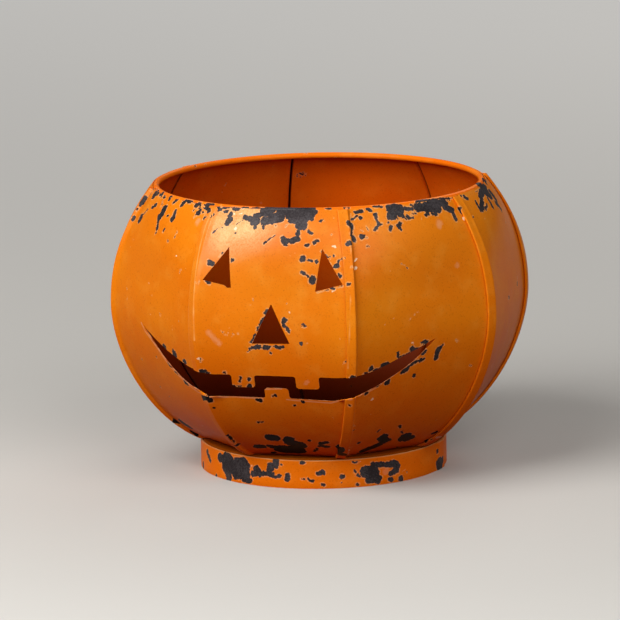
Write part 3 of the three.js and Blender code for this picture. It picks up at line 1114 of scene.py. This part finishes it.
mouth_chips = [
    (164.7, 346.9, 2, 1.6, 90), (175, 354.5, 3, 2, 90), (184.8, 361.5, 2.4, 2.2, 0),
    (202.7, 370.7, 3.8, 2, 0), (208.1, 372.9, 2.5, 1, 0), (224.9, 372.9, 1.8, 1.6, 90),
    (240.1, 379.4, 3.2, 1.5, 80), (234.1, 385.9, 1.5, 1.4, 0), (238.5, 385.9, 3, 1, 0),
    (249.3, 379.4, 1.8, 1.8, 0), (249.9, 385.9, 3.4, 2.4, 45), (170.1, 364.2, 2.6, 1.2, -50),
    (176.6, 372.9, 2, 0.6, -50), (186.4, 382.7, 2.6, 0.8, -45), (204.8, 397.9, 3.6, 1.8, 0),
    (210.3, 400, 2.6, 2.5, 0), (259.1, 400, 3, 1.8, 0), (274.3, 395.7, 2.4, 1.2, 5),
    (260.2, 421.7, 2.6, 1, 5), (156.6, 356.6, 0.8, 0.8, 0), (214, 407.6, 0.9, 0.9, 0),
    (294.9, 405.4, 1.6, 1.2, 0), (353.3, 376.8, 3, 1.6, 0), (370.6, 368.2, 2.6, 2.5, 0),
    (384.9, 364.6, 4.5, 2, 15), (398.2, 354.9, 3, 1.7, 90), (411.9, 348.8, 3, 2.6, 30),
    (424.7, 341.6, 4.5, 1.8, 15), (378, 368.5, 18, 0.8, 21), (413, 350, 18, 0.8, 29),
    (438, 350.8, 4.5, 2.6, 65), (435.9, 356.9, 3, 2.2, 70), (442, 345.7, 3, 1.2, 45),
    (423.7, 351.8, 3.6, 1.6, 42), (416.5, 361, 6, 1.3, 25), (421.6, 360, 3.4, 1.7, 20),
    (404.3, 370.7, 4.5, 2.2, 30), (410.4, 365.1, 4, 1.3, 35), (414, 375.3, 2, 1.8, 0),
    (386.9, 381.9, 3.4, 2.2, 40), (379.8, 385, 3.6, 0.5, 25), (366, 393.2, 2.6, 1.4, 30),
    (349.7, 404.9, 1.4, 1, 0), (303.3, 401.8, 1.8, 1.4, 0),
]
heel_chips = [
    (176.6, 420.6, 2.4, 1.2, -30), (185.3, 423.9, 4.5, 2.2, -35), (195, 432.6, 3, 1, -35),
    (229.8, 436.9, 4, 1.2, -40), (272.3, 437.5, 6, 3, -8), (259.6, 446.1, 4.5, 1.8, 0),
    (289.1, 438.9, 4, 2.6, 0), (295.4, 443.4, 9, 3.2, -18), (275.7, 447, 7, 1.6, -12),
    (290, 449.6, 10, 3.6, -3), (308.8, 454.6, 6, 1.6, 20), (315.9, 449.6, 3, 1.2, 50),
    (309.6, 440.3, 1, 1, 0), (323.9, 442.5, 5, 1.4, 10), (323.9, 446.1, 5, 1.2, -5),
    (231.1, 438, 6, 1, -50), (237.3, 444.7, 2.4, 1.2, 30), (219.5, 442.9, 3.6, 1, -40),
    (340.1, 449.5, 3, 2, 90), (341.9, 453.9, 3, 1.6, 0), (358.4, 442.8, 1.6, 0.9, 50),
    (378.5, 430.3, 2, 0.8, 45), (382.5, 437, 3.4, 2.4, 40), (385.2, 439.6, 4.5, 2, -10),
    (377.1, 445, 6, 2, 25), (368.2, 448.6, 5.5, 2.2, 20), (362, 451.7, 4, 1, 20),
    (400.4, 426.3, 2.6, 1.9, -60), (401.7, 432.5, 2.4, 1.2, -50), (404.8, 437, 4, 3.4, 60),
    (408.4, 437.9, 3, 2.4, 0), (397.7, 445, 7, 3, 25), (390.5, 448.6, 4.5, 1.6, 15),
    (426.3, 440, 2.6, 1.4, 20), (434.3, 432.5, 2.4, 1, 20),
]
foot_chips = [
    (208.8, 455.9, 5.5, 1, -70), (203.4, 464.8, 1.6, 1.2, 90), (220.4, 457.7, 3, 2.6, 90),
    (227.5, 463.9, 8, 6, 90), (228.4, 474.6, 5, 3, 100), (240, 463, 9, 6, 0),
    (243.6, 472.9, 8, 6.6, 0), (247.1, 480, 6, 2.8, -10), (251.6, 457.7, 6, 2, 0),
    (236.4, 474.6, 6, 4.6, 0), (257, 469.5, 4.5, 3, -45), (256.1, 473.8, 6, 3, 0),
    (266.8, 473.8, 8, 2.8, -5), (270.4, 467.5, 4.5, 3.8, 60), (275.7, 463.9, 5, 3.8, 80),
    (279.3, 461.3, 3, 2.4, 0), (282, 464.8, 2, 1, 0), (275.7, 476.4, 6, 1.4, 0),
    (279.7, 476, 2.4, 2, 0), (287.3, 477.3, 4.5, 2.8, 85), (302.5, 463, 3.2, 1.6, 0),
    (320.4, 472.9, 5, 2.2, 15), (323, 472, 3, 2.6, 90), (310.5, 480, 3.6, 1.6, -30),
    (303.4, 478.7, 2.2, 0.5, 0), (323, 484.9, 2.4, 2, 0), (265, 485.8, 3.6, 1.4, -3),
    (216.3, 475.5, 1.3, 1, 90), (354.8, 462, 2.6, 1, 0), (370, 471.8, 10, 6.6, 0),
    (373.6, 478.9, 9, 5, 0), (382.5, 464.6, 12, 2.6, -3), (377.1, 482.5, 4, 3, 0),
    (395, 464.6, 6, 4, -30), (394.1, 471.8, 6, 2.6, 25), (390.5, 479.8, 3.4, 2.4, -30),
    (354.8, 471.8, 2, 1.2, -60), (358.4, 475.4, 3, 1.2, -15), (400.8, 478.9, 3, 2.4, 90),
    (357.5, 484.3, 2.2, 2, 0), (342.3, 476.7, 2.9, 2.6, 90), (341.9, 482.5, 0.9, 0.8, 0),
    (440.1, 464.6, 3.4, 3, 90), (437.4, 451.3, 1.4, 1.2, 90), (442.3, 460.2, 2, 1.2, 90),
    (407.1, 472.2, 0.7, 0.7, 0), (235, 468, 4, 2.5, 0), (247, 466, 4, 3, 0),
    (243, 474, 6, 3, -20), (387, 464.4, 12, 3, 3),
]
# Chips on the bead; the longest strokes paint a dark line along the sheet's top edge under the bead
bead_chips_and_dark_lines = [
    (217, 161, 2.6, 1.1, 18), (205.5, 164.3, 1.4, 0.7, 18), (270, 154.5, 6, 0.7, 3),
    (232, 157.6, 1.6, 0.6, 10), (146.5, 187, 3, 0.8, 55), (158, 190.2, 2, 0.8, -40),
    (242.5, 207.9, 25.6, 0.8, -2.1), (290, 208.5, 24, 1.3, 1), (431, 200.2, 16, 1, 7),
    (455, 197.8, 7, 0.7, 13), (393.5, 205.2, 7, 0.9, 5), (328, 208.6, 3.4, 1, 0),
    (346.5, 207.9, 3, 0.5, 0), (477, 191, 2.4, 0.5, 35), (484.5, 181, 3, 1, -65),
]
all_chips = (left_cheek_chips + brow_chips + eye_chips + nose_chips + seam_chips + right_rim_chips
             + far_right_chips + mouth_chips + heel_chips + foot_chips + bead_chips_and_dark_lines)
# Pale flakes of paint, and painted highlights: specks on the brow (229 to 260 across) and a glint at
# 438.3
pale_flakes_and_glints = [(176.3, 256, 1.4, 1, 30), (334.4, 246.5, 2.6, 1.2, -35), (355.6, 259.4, 2.4, 0.8, 52),
               (354.6, 268, 1.2, 0.6, 60), (289.8, 312.4, 1.1, 0.9, 0), (349.7, 377.3, 1, 0.8, 20),
               (413, 343.2, 1.5, 0.8, -50), (294.6, 405.4, 1.2, 0.8, 0), (372, 399.3, 1.1, 0.8, 40),
               (463.5, 218.5, 1.3, 1, 0), (359.7, 461, 1.4, 0.9, 20), (240.7, 213.4, 1.8, 0.8, 20),
               (259.5, 221.4, 1.5, 1, 80), (259, 214.5, 4.5, 0.7, 0), (229, 222, 1.4, 1, 30),
               (236, 228.5, 1.7, 0.9, 70), (246, 218, 1.3, 1, 0), (252, 230, 1.5, 0.8, 40),
               (233, 214, 1.6, 0.8, 10), (243.5, 208.5, 1.4, 0.7, 0), (333.3, 291, 1.6, 0.7, 20),
               (198.3, 358.8, 1.5, 0.8, 30), (348.6, 452, 3, 0.5, 80), (277.5, 456.8, 3.5, 1.2, 0),
               (251.6, 465.7, 1.2, 0.9, 60), (438.3, 437, 2, 0.7, 10)]
pale_scuffs = [(198, 222, 3, 2, 60), (273.8, 214.3, 2, 1.2, 80), (439, 224, 4, 3.2, 80),
               (457.2, 265.5, 2.4, 1.6, 60), (306.8, 382.4, 3, 1.6, 40), (214, 338, 10, 2.2, -45),
               (386, 471, 3.5, 3, 60)]
# A painted highlight: the broad pale glow on the brow, where the key lamp reflects
glow_highlight_places = [(240, 226, 16, 9, 20)]
# Painted highlight lines along the lower lip and a tooth, where the cut edge catches the light
left_lip_line = [(141.5, 322.5), (146.3, 332.2), (156.1, 345.6), (165.2, 359.6), (175.7, 372.3),
                 (187, 383.5), (198.2, 391.8), (206.6, 396.6), (219.2, 397.2), (263, 398.3)]
tooth_line = [(264.8, 389.1), (281.5, 388.7)]
right_lip_line = [(287, 399.3), (300, 400.6), (331, 402.8), (352, 399.2), (369, 391.4),
                  (376.5, 387.2)]
# Painted highlight lines along the front seam's crest and the face's left corner
front_seam_crest = [(350.6, 214), (351, 250), (350.6, 300), (349.6, 336), (348, 368)]
left_corner_crest = [(211, 213), (204.6, 230), (200.4, 246), (197.2, 264), (194.8, 286),
                     (193.6, 312), (194.4, 340)]
print("chips measured:", len(all_chips))

# %% [markdown]
# ## Marks for each piece
# Every piece gets a paint of its own, which holds only the marks that reach it. That keeps the
# number of nodes in each one small. The painted highlights along the lips and crests are thin
# strokes from place to place along their lines.

# %% Chips carried to the pieces
overlap = radians(6)
lip_highlight_width = 0.45
crest_highlight_width = 0.42
foot_reach = foot_height + 0.3
bead_reach = edge_height - 3
upper_lowest = 60
lower_highest = 85


def gore_azimuths(name):
    """Middle direction of a gore, as an angle round the axis from the face toward +X."""
    plain = name.replace("_upper", "").replace("_lower", "")
    return gore_names.index(plain) * gore_turn


def strokes_on(name, marks):
    """The strokes of a list of marks that reach a gore, counting its seams on both sides."""
    found = []
    for first, last, radius in marks:
        middle = (first + last) / 2
        if middle.z < foot_reach * mm:
            continue
        if name.endswith("upper") and middle.z < upper_lowest * mm:
            continue
        if name.endswith("lower") and middle.z > lower_highest * mm:
            continue
        off = atan2(middle.x, -middle.y) - gore_azimuths(name)
        off = (off + pi) % (2 * pi) - pi
        if abs(off) < half_turn + overlap:
            found.append((first, last, radius))
    return found


def on_foot(marks):
    """The strokes of a list of marks that start on the foot."""
    return [mark for mark in marks if mark[0].z < foot_reach * mm]


def on_bead(marks):
    """The strokes of a list of marks whose middle lies on the rim's bead."""
    return [mark for mark in marks if (mark[0] + mark[1]).z / 2 > bead_reach * mm]


def carried(chips):
    """The strokes of a list of chips, without those whose ray misses the bowl."""
    return [mark for mark in (stroke(*chip) for chip in chips) if mark]


def highlight_lines(lines, stroke_width):
    """Thin strokes of painted highlight from place to place along lines drawn over the photograph."""
    return [(touch(*here), touch(*there), stroke_width * mm)
            for line in lines for here, there in zip(line, line[1:])]


chip_strokes = carried(all_chips)
pale_strokes = carried(pale_flakes_and_glints)
scuff_strokes = carried(pale_scuffs)
glow_highlight_strokes = carried(glow_highlight_places)
crest_highlight_strokes = highlight_lines((front_seam_crest, left_corner_crest), crest_highlight_width)
lip_highlight_strokes = highlight_lines((left_lip_line, tooth_line, right_lip_line), lip_highlight_width)
print("chips that reached the bowl:", len(chip_strokes))

# %% [markdown]
# ## Shader sums in Python
# A finish is mostly arithmetic on noise and distances. A small class wraps a socket, and each sum
# written with it adds the Math node that does it. Every other node comes from one function.

# %% Sockets that add up
class Shade:
    """A socket of a material. Sums on it add Math nodes."""

    def __init__(self, tree, socket):
        self.tree = tree
        self.socket = socket

    def math(self, operation, *others, clamp=False):
        return add(self.tree, "ShaderNodeMath", {"operation": operation, "use_clamp": clamp},
                   dict(enumerate((self,) + others)))

    def __add__(self, other):
        return self.math("ADD", other)

    def __radd__(self, other):
        return self.math("ADD", other)

    def __sub__(self, other):
        return self.math("SUBTRACT", other)

    def __rsub__(self, other):
        return add(self.tree, "ShaderNodeMath", {"operation": "SUBTRACT"}, {0: other, 1: self})

    def __mul__(self, other):
        return self.math("MULTIPLY", other)

    def __rmul__(self, other):
        return self.math("MULTIPLY", other)

    def __truediv__(self, other):
        return self.math("DIVIDE", other)

    def lower(self, other):
        return self.math("MINIMUM", other)

    def higher(self, other):
        return self.math("MAXIMUM", other)

    def limited(self):
        """The value kept between 0 and 1."""
        return self.math("ADD", 0.0, clamp=True)


def add(tree, kind, settings=None, inputs=None, out=0):
    """Adds one node: its settings first, then the values or links of its sockets."""
    node = tree.nodes.new(kind)
    for key, value in (settings or {}).items():
        setattr(node, key, value)
    for key, value in (inputs or {}).items():
        if isinstance(value, Shade):
            tree.links.new(value.socket, node.inputs[key])
        else:
            node.inputs[key].default_value = value
    return Shade(tree, node.outputs[out]) if len(node.outputs) else node


def new_material(name):
    """A material with nothing in it yet, and its node tree."""
    material = bpy.data.materials.new(name)
    material.use_nodes = True
    material.node_tree.nodes.clear()
    return material, material.node_tree


def linear(red, green, blue):
    """A colour as it is seen on screen, 0 to 255, turned into what a shader reads."""
    def one(value):
        share = value / 255
        return share / 12.92 if share <= 0.04045 else ((share + 0.055) / 1.055) ** 2.4
    return (one(red), one(green), one(blue), 1)


def noise(tree, place, size, detail=2, rough=0.5, seed=0):
    """Noise from 0 to 1 whose lumps measure about this many millimetres."""
    return add(tree, "ShaderNodeTexNoise", {"noise_dimensions": "4D"},
               {"Vector": place, "W": seed, "Scale": 1 / (size * mm), "Detail": detail,
                "Roughness": rough})


def blend_colors(tree, share, first, second, kind="MIX"):
    """Colour that goes from the first to the second as the share goes from 0 to 1."""
    return add(tree, "ShaderNodeMix", {"data_type": "RGBA", "blend_type": kind},
               {0: share, 6: first, 7: second}, out=2)


def tinted(tree, color, tint):
    """A colour multiplied by another."""
    return blend_colors(tree, 1.0, color, tint, "MULTIPLY")


def vector(tree, operation, *values, out=0):
    """A node for sums on whole vectors."""
    return add(tree, "ShaderNodeVectorMath", {"operation": operation}, dict(enumerate(values)), out)


print("shader helpers ready")

# %% [markdown]
# ## Distance to the nearest chip
# A stroke is a round-ended line. The distance from a point to it takes five nodes: how far along
# the line the point lies, the nearest place on the line, the distance to that, less the radius.
# The coordinates are shaken by noise first and then drawn toward the middles of small cells, so
# the round strokes break up into ragged, angular flakes.
# A renderer can only hold so many unfinished values at once. So after every few strokes the next
# ones are made to wait for the result so far, by adding a share of it that is too small to see.

# %% Chip distance
strokes_at_once = 6
waiting_share = 1e-9
shortest_line = 0.1
out_of_reach = 50.0


def distance_to_strokes(tree, place, strokes):
    """Smallest distance from a point to a list of strokes, in millimetres, below 0 inside."""
    nearest = None
    start = place
    for number, (first, last, radius) in enumerate(strokes):
        if number % strokes_at_once == strokes_at_once - 1:
            place = vector(tree, "MULTIPLY_ADD", nearest, (waiting_share,) * 3, start)
        run = last - first
        if run.length < shortest_line * mm:
            gap = vector(tree, "DISTANCE", place, tuple(first), out=1)
        else:
            offset = vector(tree, "SUBTRACT", place, tuple(first))
            along = vector(tree, "DOT_PRODUCT", offset, tuple(run / run.length_squared), out=1)
            spot = vector(tree, "MULTIPLY_ADD", along.limited(), tuple(run), tuple(first))
            gap = vector(tree, "DISTANCE", place, spot, out=1)
        gap = gap - radius
        nearest = gap if nearest is None else nearest.lower(gap)
    return out_of_reach if nearest is None else nearest / mm


def flaked_off(tree, place, size, share):
    """Coordinates drawn part of the way to the middles of small cells, so edges break angular."""
    middle = add(tree, "ShaderNodeTexVoronoi", {"voronoi_dimensions": "3D"},
                 {"Vector": place, "Scale": 1 / (size * mm)}, out=2)
    return vector(tree, "ADD", vector(tree, "MULTIPLY", place, (1 - share,) * 3),
                  vector(tree, "MULTIPLY", middle, (share,) * 3))


def shaken(tree, place, size, reach, seed):
    """Coordinates moved by noise of a given size, by up to half a given reach in millimetres."""
    wave = add(tree, "ShaderNodeTexNoise", {"noise_dimensions": "4D"},
               {"Vector": place, "W": seed, "Scale": 1 / (size * mm), "Detail": 3.0,
                "Roughness": 0.6}, out=1)
    centred = vector(tree, "SUBTRACT", wave, (0.5, 0.5, 0.5))
    moved = vector(tree, "MULTIPLY", centred, (reach * mm,) * 3)
    return vector(tree, "ADD", place, moved)


print("chip distance ready")

# %% [markdown]
# ## Chipped orange paint
# The paint is one recipe with a few settings. Under it lies dark, oiled sheet. Chips, rubbed edges
# and the pale rim of broken paint round each chip all come from the same distance, so that colour,
# gloss and relief agree. Further lists of strokes add scuffed and pale flaked places, and painted
# highlights: a broad glow on the brow with specks in it, a glint, and thin lines along the lips and
# seam crests. The cut edges and the foot strap's top edge get painted highlights too, and the foot's
# paint is made brighter and redder as painted light and warm bounce light. Toward the foot the gores'
# paint turns redder and darker as painted shade and warm bounce light. The inside is painted dark as
# shade toward the bottom, lighter on its right wall where the lamp's light falls, and redder as
# painted bounce light.

# %% Orange paint
paint_lit = linear(238, 140, 18)
paint_warm = linear(232, 116, 8)
paint_pale = linear(244, 164, 56)
paint_dark = linear(184, 84, 6)
# Pale cream of the painted highlight on the brow
glow_highlight_color = linear(242, 200, 134)
seam_dirt = linear(46, 14, 4)
# Pale primer round each chip; also the colour of the painted highlight on the foot strap's top edge
halo_and_highlight_color = linear(240, 180, 116)
bare_dark = linear(52, 48, 50)
bare_light = linear(94, 89, 92)
# Bare metal low on the bowl, near black: painted shade
bare_shaded = linear(20, 14, 14)
crest_highlight_color = linear(255, 196, 120)
pale_color = linear(255, 226, 190)
black = (0, 0, 0, 1)
scuff_color = linear(238, 168, 118)
# Pale colour of the painted highlight on cut edges and along the lower lip
edge_highlight_color = linear(240, 168, 116)
# Inside, the paint is tinted redder: painted bounce light between the orange walls
inner_bounce_tint = (0.86, 0.48, 0.45, 1)
# On the foot, paint made brighter and redder: painted light and warm bounce light; on the rim, a redder
# bead
lit_foot_and_rim_tint = (1.12, 0.86, 0.8, 1)
# Toward the foot the paint is tinted redder and darker: painted shade and warm bounce light
shade_bounce_tint = (0.86, 0.56, 0.4, 1)
# Painted shade inside: where the darkening starts and how far it reaches, and where the right wall is
# painted lighter, as lit
inner_shade_low = 12
inner_shade_depth = 135
shade_top = 95
inner_lit_from = 35
inner_lit_run = 40
varnish_low = 70
varnish_depth = 70
glow_highlight_reach = 15.0
scuff_soft = 1.6
pale_mark_soft = 0.3
lip_highlight_soft = 0.3
crest_highlight_soft = 0.5
chip_soft = 0.16
halo_width = 0.42
seam_dirt_width = 0.6
top_edge_highlight_width = 0.7
rim_wear_depth = 16
foot_wear_depth = 12
cell_size = 1.7
cell_share = 0.4


def near_seam(tree, place):
    """1 in the dirty line where two gores meet inside the bowl, 0 elsewhere."""
    across, back = (add(tree, "ShaderNodeSeparateXYZ", inputs={0: place}, out=k) for k in (0, 1))
    turn = across.math("ARCTAN2", 0 - back)
    reach = vector(tree, "LENGTH", vector(tree, "MULTIPLY", place, (1, 1, 0)), out=1) / mm
    distance = (turn * (gore_count / 2)).math("COSINE").math("ABSOLUTE") * reach / (gore_count / 2)
    return (1.5 - distance / seam_dirt_width).limited()


def within(tree, place, strokes, soft):
    """1 inside a list of strokes and 0 outside, over an edge this many millimetres soft."""
    return (0.5 - distance_to_strokes(tree, place, strokes) / soft).limited()


def paint_material(name, strokes, seed, pale=(), scuffs=(), lip_highlights=(), glow_highlight=(), crest_highlights=(),
                   edge_wear=0.0, gloss=0.36, shade=1.0, varnish=0.1, tint=None, inside=False):
    """Orange paint with chips, painted highlights and shade. Lists are strokes; numbers set wear and
    gloss.
    """
    material, tree = new_material(name)
    place = add(tree, "ShaderNodeTexCoord", out=3)
    torn = shaken(tree, shaken(tree, place, 5, 2.0, seed), 1.3, 0.9, seed + 3)
    ragged = flaked_off(tree, torn, cell_size, cell_share)
    chip = distance_to_strokes(tree, ragged, strokes)
    height = add(tree, "ShaderNodeSeparateXYZ", inputs={0: place}, out=2) / mm
    across = add(tree, "ShaderNodeSeparateXYZ", inputs={0: place}, out=0) / mm
    rim_band = ((height - (edge_height - rim_wear_depth)) / rim_wear_depth).limited()
    foot_band = (((seat_height + foot_wear_depth) - height) / foot_wear_depth).limited()
    edges = rim_band * rim_band + foot_band * foot_band
    flakes = noise(tree, place, 9, 4, 0.62, seed + 7)
    random_gap = (0.70 - edges * (0.1 * edge_wear) - flakes) * 14
    specks = add(tree, "ShaderNodeTexVoronoi", {"voronoi_dimensions": "4D"},
                 {"Vector": ragged, "W": seed, "Scale": 1 / (11 * mm)})
    speck_gap = (specks - 0.035 - edges * 0.03) * 11
    gap = random_gap.lower(speck_gap).lower(chip)
    bare = (0.5 - gap / chip_soft).limited()
    halo = (1 - (gap - 0.1).math("ABSOLUTE") / halo_width).limited() * (1 - bare)
    broad = noise(tree, place, 46, 2, 0.5, seed)
    patchy = noise(tree, place, 11, 3, 0.55, seed + 1)
    grain = noise(tree, place, 0.9, 2, 0.6, seed + 2)
    color = blend_colors(tree, (broad * 1.6 - 0.3).limited(), paint_warm, paint_lit)
    color = blend_colors(tree, ((patchy - 0.5) * 1.4).limited(), color, paint_pale)
    color = blend_colors(tree, ((0.44 - grain) * 2.4).limited(), color, paint_dark)
    if glow_highlight:
        # A painted highlight: the pale glow of the key lamp's reflection on the brow
        reach = (1 - distance_to_strokes(tree, ragged, glow_highlight) / glow_highlight_reach).limited()
        share = reach * (0.5 + (grain + patchy - 1) * 1.5)
        color = blend_colors(tree, share.limited(), color, glow_highlight_color)
    if scuffs:
        rubbed = within(tree, ragged, scuffs, scuff_soft)
        color = blend_colors(tree, rubbed * (patchy * 1.5).limited() * 0.8, color, scuff_color)
    if pale:
        # Pale flakes, and painted highlights: specks in the brow's glow and a glint at the ledge
        pale_mark = within(tree, ragged, pale, pale_mark_soft)
        color = blend_colors(tree, pale_mark, color, pale_color)
    if lip_highlights:
        # A painted highlight: a pale line along the lower lip's edge
        lit_lip = within(tree, place, lip_highlights, lip_highlight_soft)
        color = blend_colors(tree, lit_lip * (patchy * 3 - 0.3).limited() * 0.9, color, edge_highlight_color)
    if crest_highlights:
        # A painted highlight: pale lines along the seam crests, where they catch the light
        lit_crest = within(tree, place, crest_highlights, crest_highlight_soft)
        color = blend_colors(tree, lit_crest * (patchy * 2.4 - 0.4).limited() * 0.6, color, crest_highlight_color)
    color = blend_colors(tree, halo * 0.75, color, halo_and_highlight_color)
    metal = blend_colors(tree, ((grain + patchy - 0.85) * 1.6).limited(), bare_dark, bare_light)
    # The tint: painted light and warm bounce light on the foot, a redder bead on the rim
    if tint:
        color = tinted(tree, color, tint)
        # A painted highlight: a pale line along the foot strap's top edge, where it catches the light
        top_edge_highlight = (1 - (height - foot_height).math("ABSOLUTE") / top_edge_highlight_width).limited()
        color = blend_colors(tree, top_edge_highlight * (patchy * 2.2 - 0.3).limited(), color, halo_and_highlight_color)
    else:
        # Painted shade and warm bounce light: lower down the paint turns redder and darker, bare metal
        # darker
        low_shade_share = ((shade_top - height) / shade_top).limited()
        color = blend_colors(tree, low_shade_share * 0.9, color, tinted(tree, color, shade_bounce_tint))
        metal = blend_colors(tree, (low_shade_share * 2.2).limited(), metal, bare_shaded)
    color = blend_colors(tree, bare, color, metal)
    if inside:
        # Painted shade inside: darker toward the bottom, lighter on the right wall where the key lamp's
        # light falls
        right_wall_lit = ((across - inner_lit_from) / inner_lit_run).limited()
        inner_lit_share = ((height - inner_shade_low) / inner_shade_depth + right_wall_lit * 0.5).limited()
        color = blend_colors(tree, inner_lit_share, black, tinted(tree, color, inner_bounce_tint))
        color = blend_colors(tree, near_seam(tree, place), color, seam_dirt)
    if shade != 1.0:
        color = blend_colors(tree, 1 - shade, color, black)
    rough = gloss + (patchy - 0.5) * 0.16 + (grain - 0.5) * 0.1 + bare * 0.05
    height_map = (grain * 0.012 + patchy * 0.03 - bare * 0.09) * mm
    bump = add(tree, "ShaderNodeBump",
               inputs={"Strength": 1.0, "Distance": 1.0, "Height": height_map})
    gloss_coat = ((height - varnish_low) / varnish_depth).limited() * varnish
    surface = add(tree, "ShaderNodeBsdfPrincipled",
                  inputs={"Base Color": color, "Roughness": rough, "Metallic": bare * 0.25,
                          "Normal": bump, "IOR": 1.5, "Specular IOR Level": 0.02,
                          "Coat Weight": gloss_coat * (1 - bare), "Coat Roughness": 0.34})
    add(tree, "ShaderNodeOutputMaterial", inputs={"Surface": surface})
    print(name, "has", len(tree.nodes), "nodes")
    return material


def put_on(obj, *materials):
    """Puts materials in an object's slots, from the first on."""
    while len(obj.data.materials) < len(materials):
        obj.data.materials.append(None)
    for slot, material in enumerate(materials):
        obj.data.materials[slot] = material


def edge_highlight_material():
    """Cut edges, where the brush left the paint thin, pale in patches: a painted highlight of the light
    they catch.
    """
    material, tree = new_material("edge_highlight_paint")
    place = add(tree, "ShaderNodeTexCoord", out=3)
    patchy = noise(tree, place, 3, 3, 0.6, 90)
    color = blend_colors(tree, ((patchy - 0.42) * 5).limited(), paint_dark, edge_highlight_color)
    surface = add(tree, "ShaderNodeBsdfPrincipled", inputs={"Base Color": color, "Roughness": 0.4})
    add(tree, "ShaderNodeOutputMaterial", inputs={"Surface": surface})
    return material


varnish_left = {"face_panel_upper": 0.4, "right_cheek_panel": 0.25, "left_cheek_panel": 0.15}
inner_paint = paint_material("inner_paint", [], 90.0, varnish=0.0, inside=True)
edge_highlight_paint = edge_highlight_material()
for seed, (name, obj) in enumerate(panels.items()):
    marks = [strokes_on(name, strokes) for strokes in
             (chip_strokes, pale_strokes, scuff_strokes, lip_highlight_strokes, glow_highlight_strokes, crest_highlight_strokes)]
    outer = paint_material(name + "_paint", marks[0], seed * 5.0, *marks[1:], edge_wear=1.0,
                           varnish=varnish_left.get(name, 0.08))
    put_on(obj, outer, inner_paint, edge_highlight_paint)
foot_paint = paint_material("foot_paint", on_foot(chip_strokes), 60.0, on_foot(pale_strokes),
                            on_foot(scuff_strokes), tint=lit_foot_and_rim_tint)
put_on(foot, foot_paint)
rim_paint = paint_material("rim_paint", on_bead(chip_strokes), 70.0, gloss=0.24, tint=lit_foot_and_rim_tint)
put_on(rim, rim_paint)
put_on(pan, paint_material("pan_paint", [], 80.0, gloss=0.5, shade=0.4))

# %% [markdown]
# ## Studio
# A large pale floor, one soft key lamp high on the left, a broad weaker lamp on the right and a
# weak one behind. The camera sees the floor pale, with a faint haze that keeps its far end from
# falling dark. Light that bounces off it toward the bowl is dim and warm, as it would be off a
# wooden table, so the bowl's underside falls into shade.

# %% Floor, lamps and world
floor_reach = 5.0
floor_seen = linear(206, 205, 202)
haze = linear(172, 171, 169)
haze_start = 0.3
haze_reach = 2.2
floor_bounced = linear(104, 32, 10)
lamp_aim = Vector((0, 0, 0.08))
lamp_color = (1, 0.975, 0.94)

start_fresh()
bpy.ops.mesh.primitive_plane_add(size=2 * floor_reach, location=(0, 0, 0))
floor = bpy.context.object
floor.name = "floor"


def floor_material():
    """The floor, pale where the camera sees it and warm and dim where it lights the bowl."""
    material, tree = new_material("pale_floor")
    seen, glossy, through = (add(tree, "ShaderNodeLightPath", out=kind) for kind in
                             ("Is Camera Ray", "Is Glossy Ray", "Is Transmission Ray"))
    share = seen.higher(glossy).higher(through)
    place = add(tree, "ShaderNodeTexCoord", out=3)
    away = vector(tree, "LENGTH", place, out=1)
    glow = ((away - haze_start) / haze_reach).limited() * share
    color = blend_colors(tree, share, floor_bounced, floor_seen)
    surface = add(tree, "ShaderNodeBsdfPrincipled",
                  inputs={"Base Color": color, "Roughness": 0.9, "Specular IOR Level": 0.1,
                          "Emission Color": blend_colors(tree, glow, black, haze),
                          "Emission Strength": 1.0})
    add(tree, "ShaderNodeOutputMaterial", inputs={"Surface": surface})
    return material


put_on(floor, floor_material())


def soft_lamp(name, azimuth, elevation, distance, size, power):
    """Square area lamp aimed at the bowl. Azimuth 0 is in front of the face, 90 toward +X."""
    a, e = radians(azimuth), radians(elevation)
    away = Vector((sin(a) * cos(e), -cos(a) * cos(e), sin(e)))
    data = bpy.data.lights.new(name, "AREA")
    data.size = size
    data.energy = power
    data.color = lamp_color
    lamp = bpy.data.objects.new(name, data)
    turn = away.to_track_quat("Z", "Y").to_matrix().to_4x4()
    lamp.matrix_world = Matrix.Translation(away * distance + lamp_aim) @ turn
    bpy.context.scene.collection.objects.link(lamp)


soft_lamp("key_lamp", azimuth=-34, elevation=40, distance=1.5, size=1.0, power=23)
soft_lamp("side_lamp", azimuth=42, elevation=35, distance=2.0, size=1.4, power=17)
soft_lamp("back_lamp", azimuth=168, elevation=40, distance=2.2, size=1.4, power=9)


def world_light():
    """A pale backdrop for the camera, and a much dimmer sky that lights the bowl."""
    world = bpy.data.worlds.new("studio")
    bpy.context.scene.world = world
    world.use_nodes = True
    tree = world.node_tree
    tree.nodes.clear()
    seen = add(tree, "ShaderNodeLightPath")
    pale = add(tree, "ShaderNodeBackground", inputs={"Color": (0.8, 0.79, 0.77, 1), "Strength": 1.0})
    dim = add(tree, "ShaderNodeBackground", inputs={"Color": (1, 0.96, 0.92, 1), "Strength": 0.08})
    mixed = add(tree, "ShaderNodeMixShader", inputs={0: seen, 1: dim, 2: pale})
    add(tree, "ShaderNodeOutputWorld", inputs={"Surface": mixed})


world_light()
bpy.context.scene.view_settings.view_transform = "Standard"
print("studio ready")
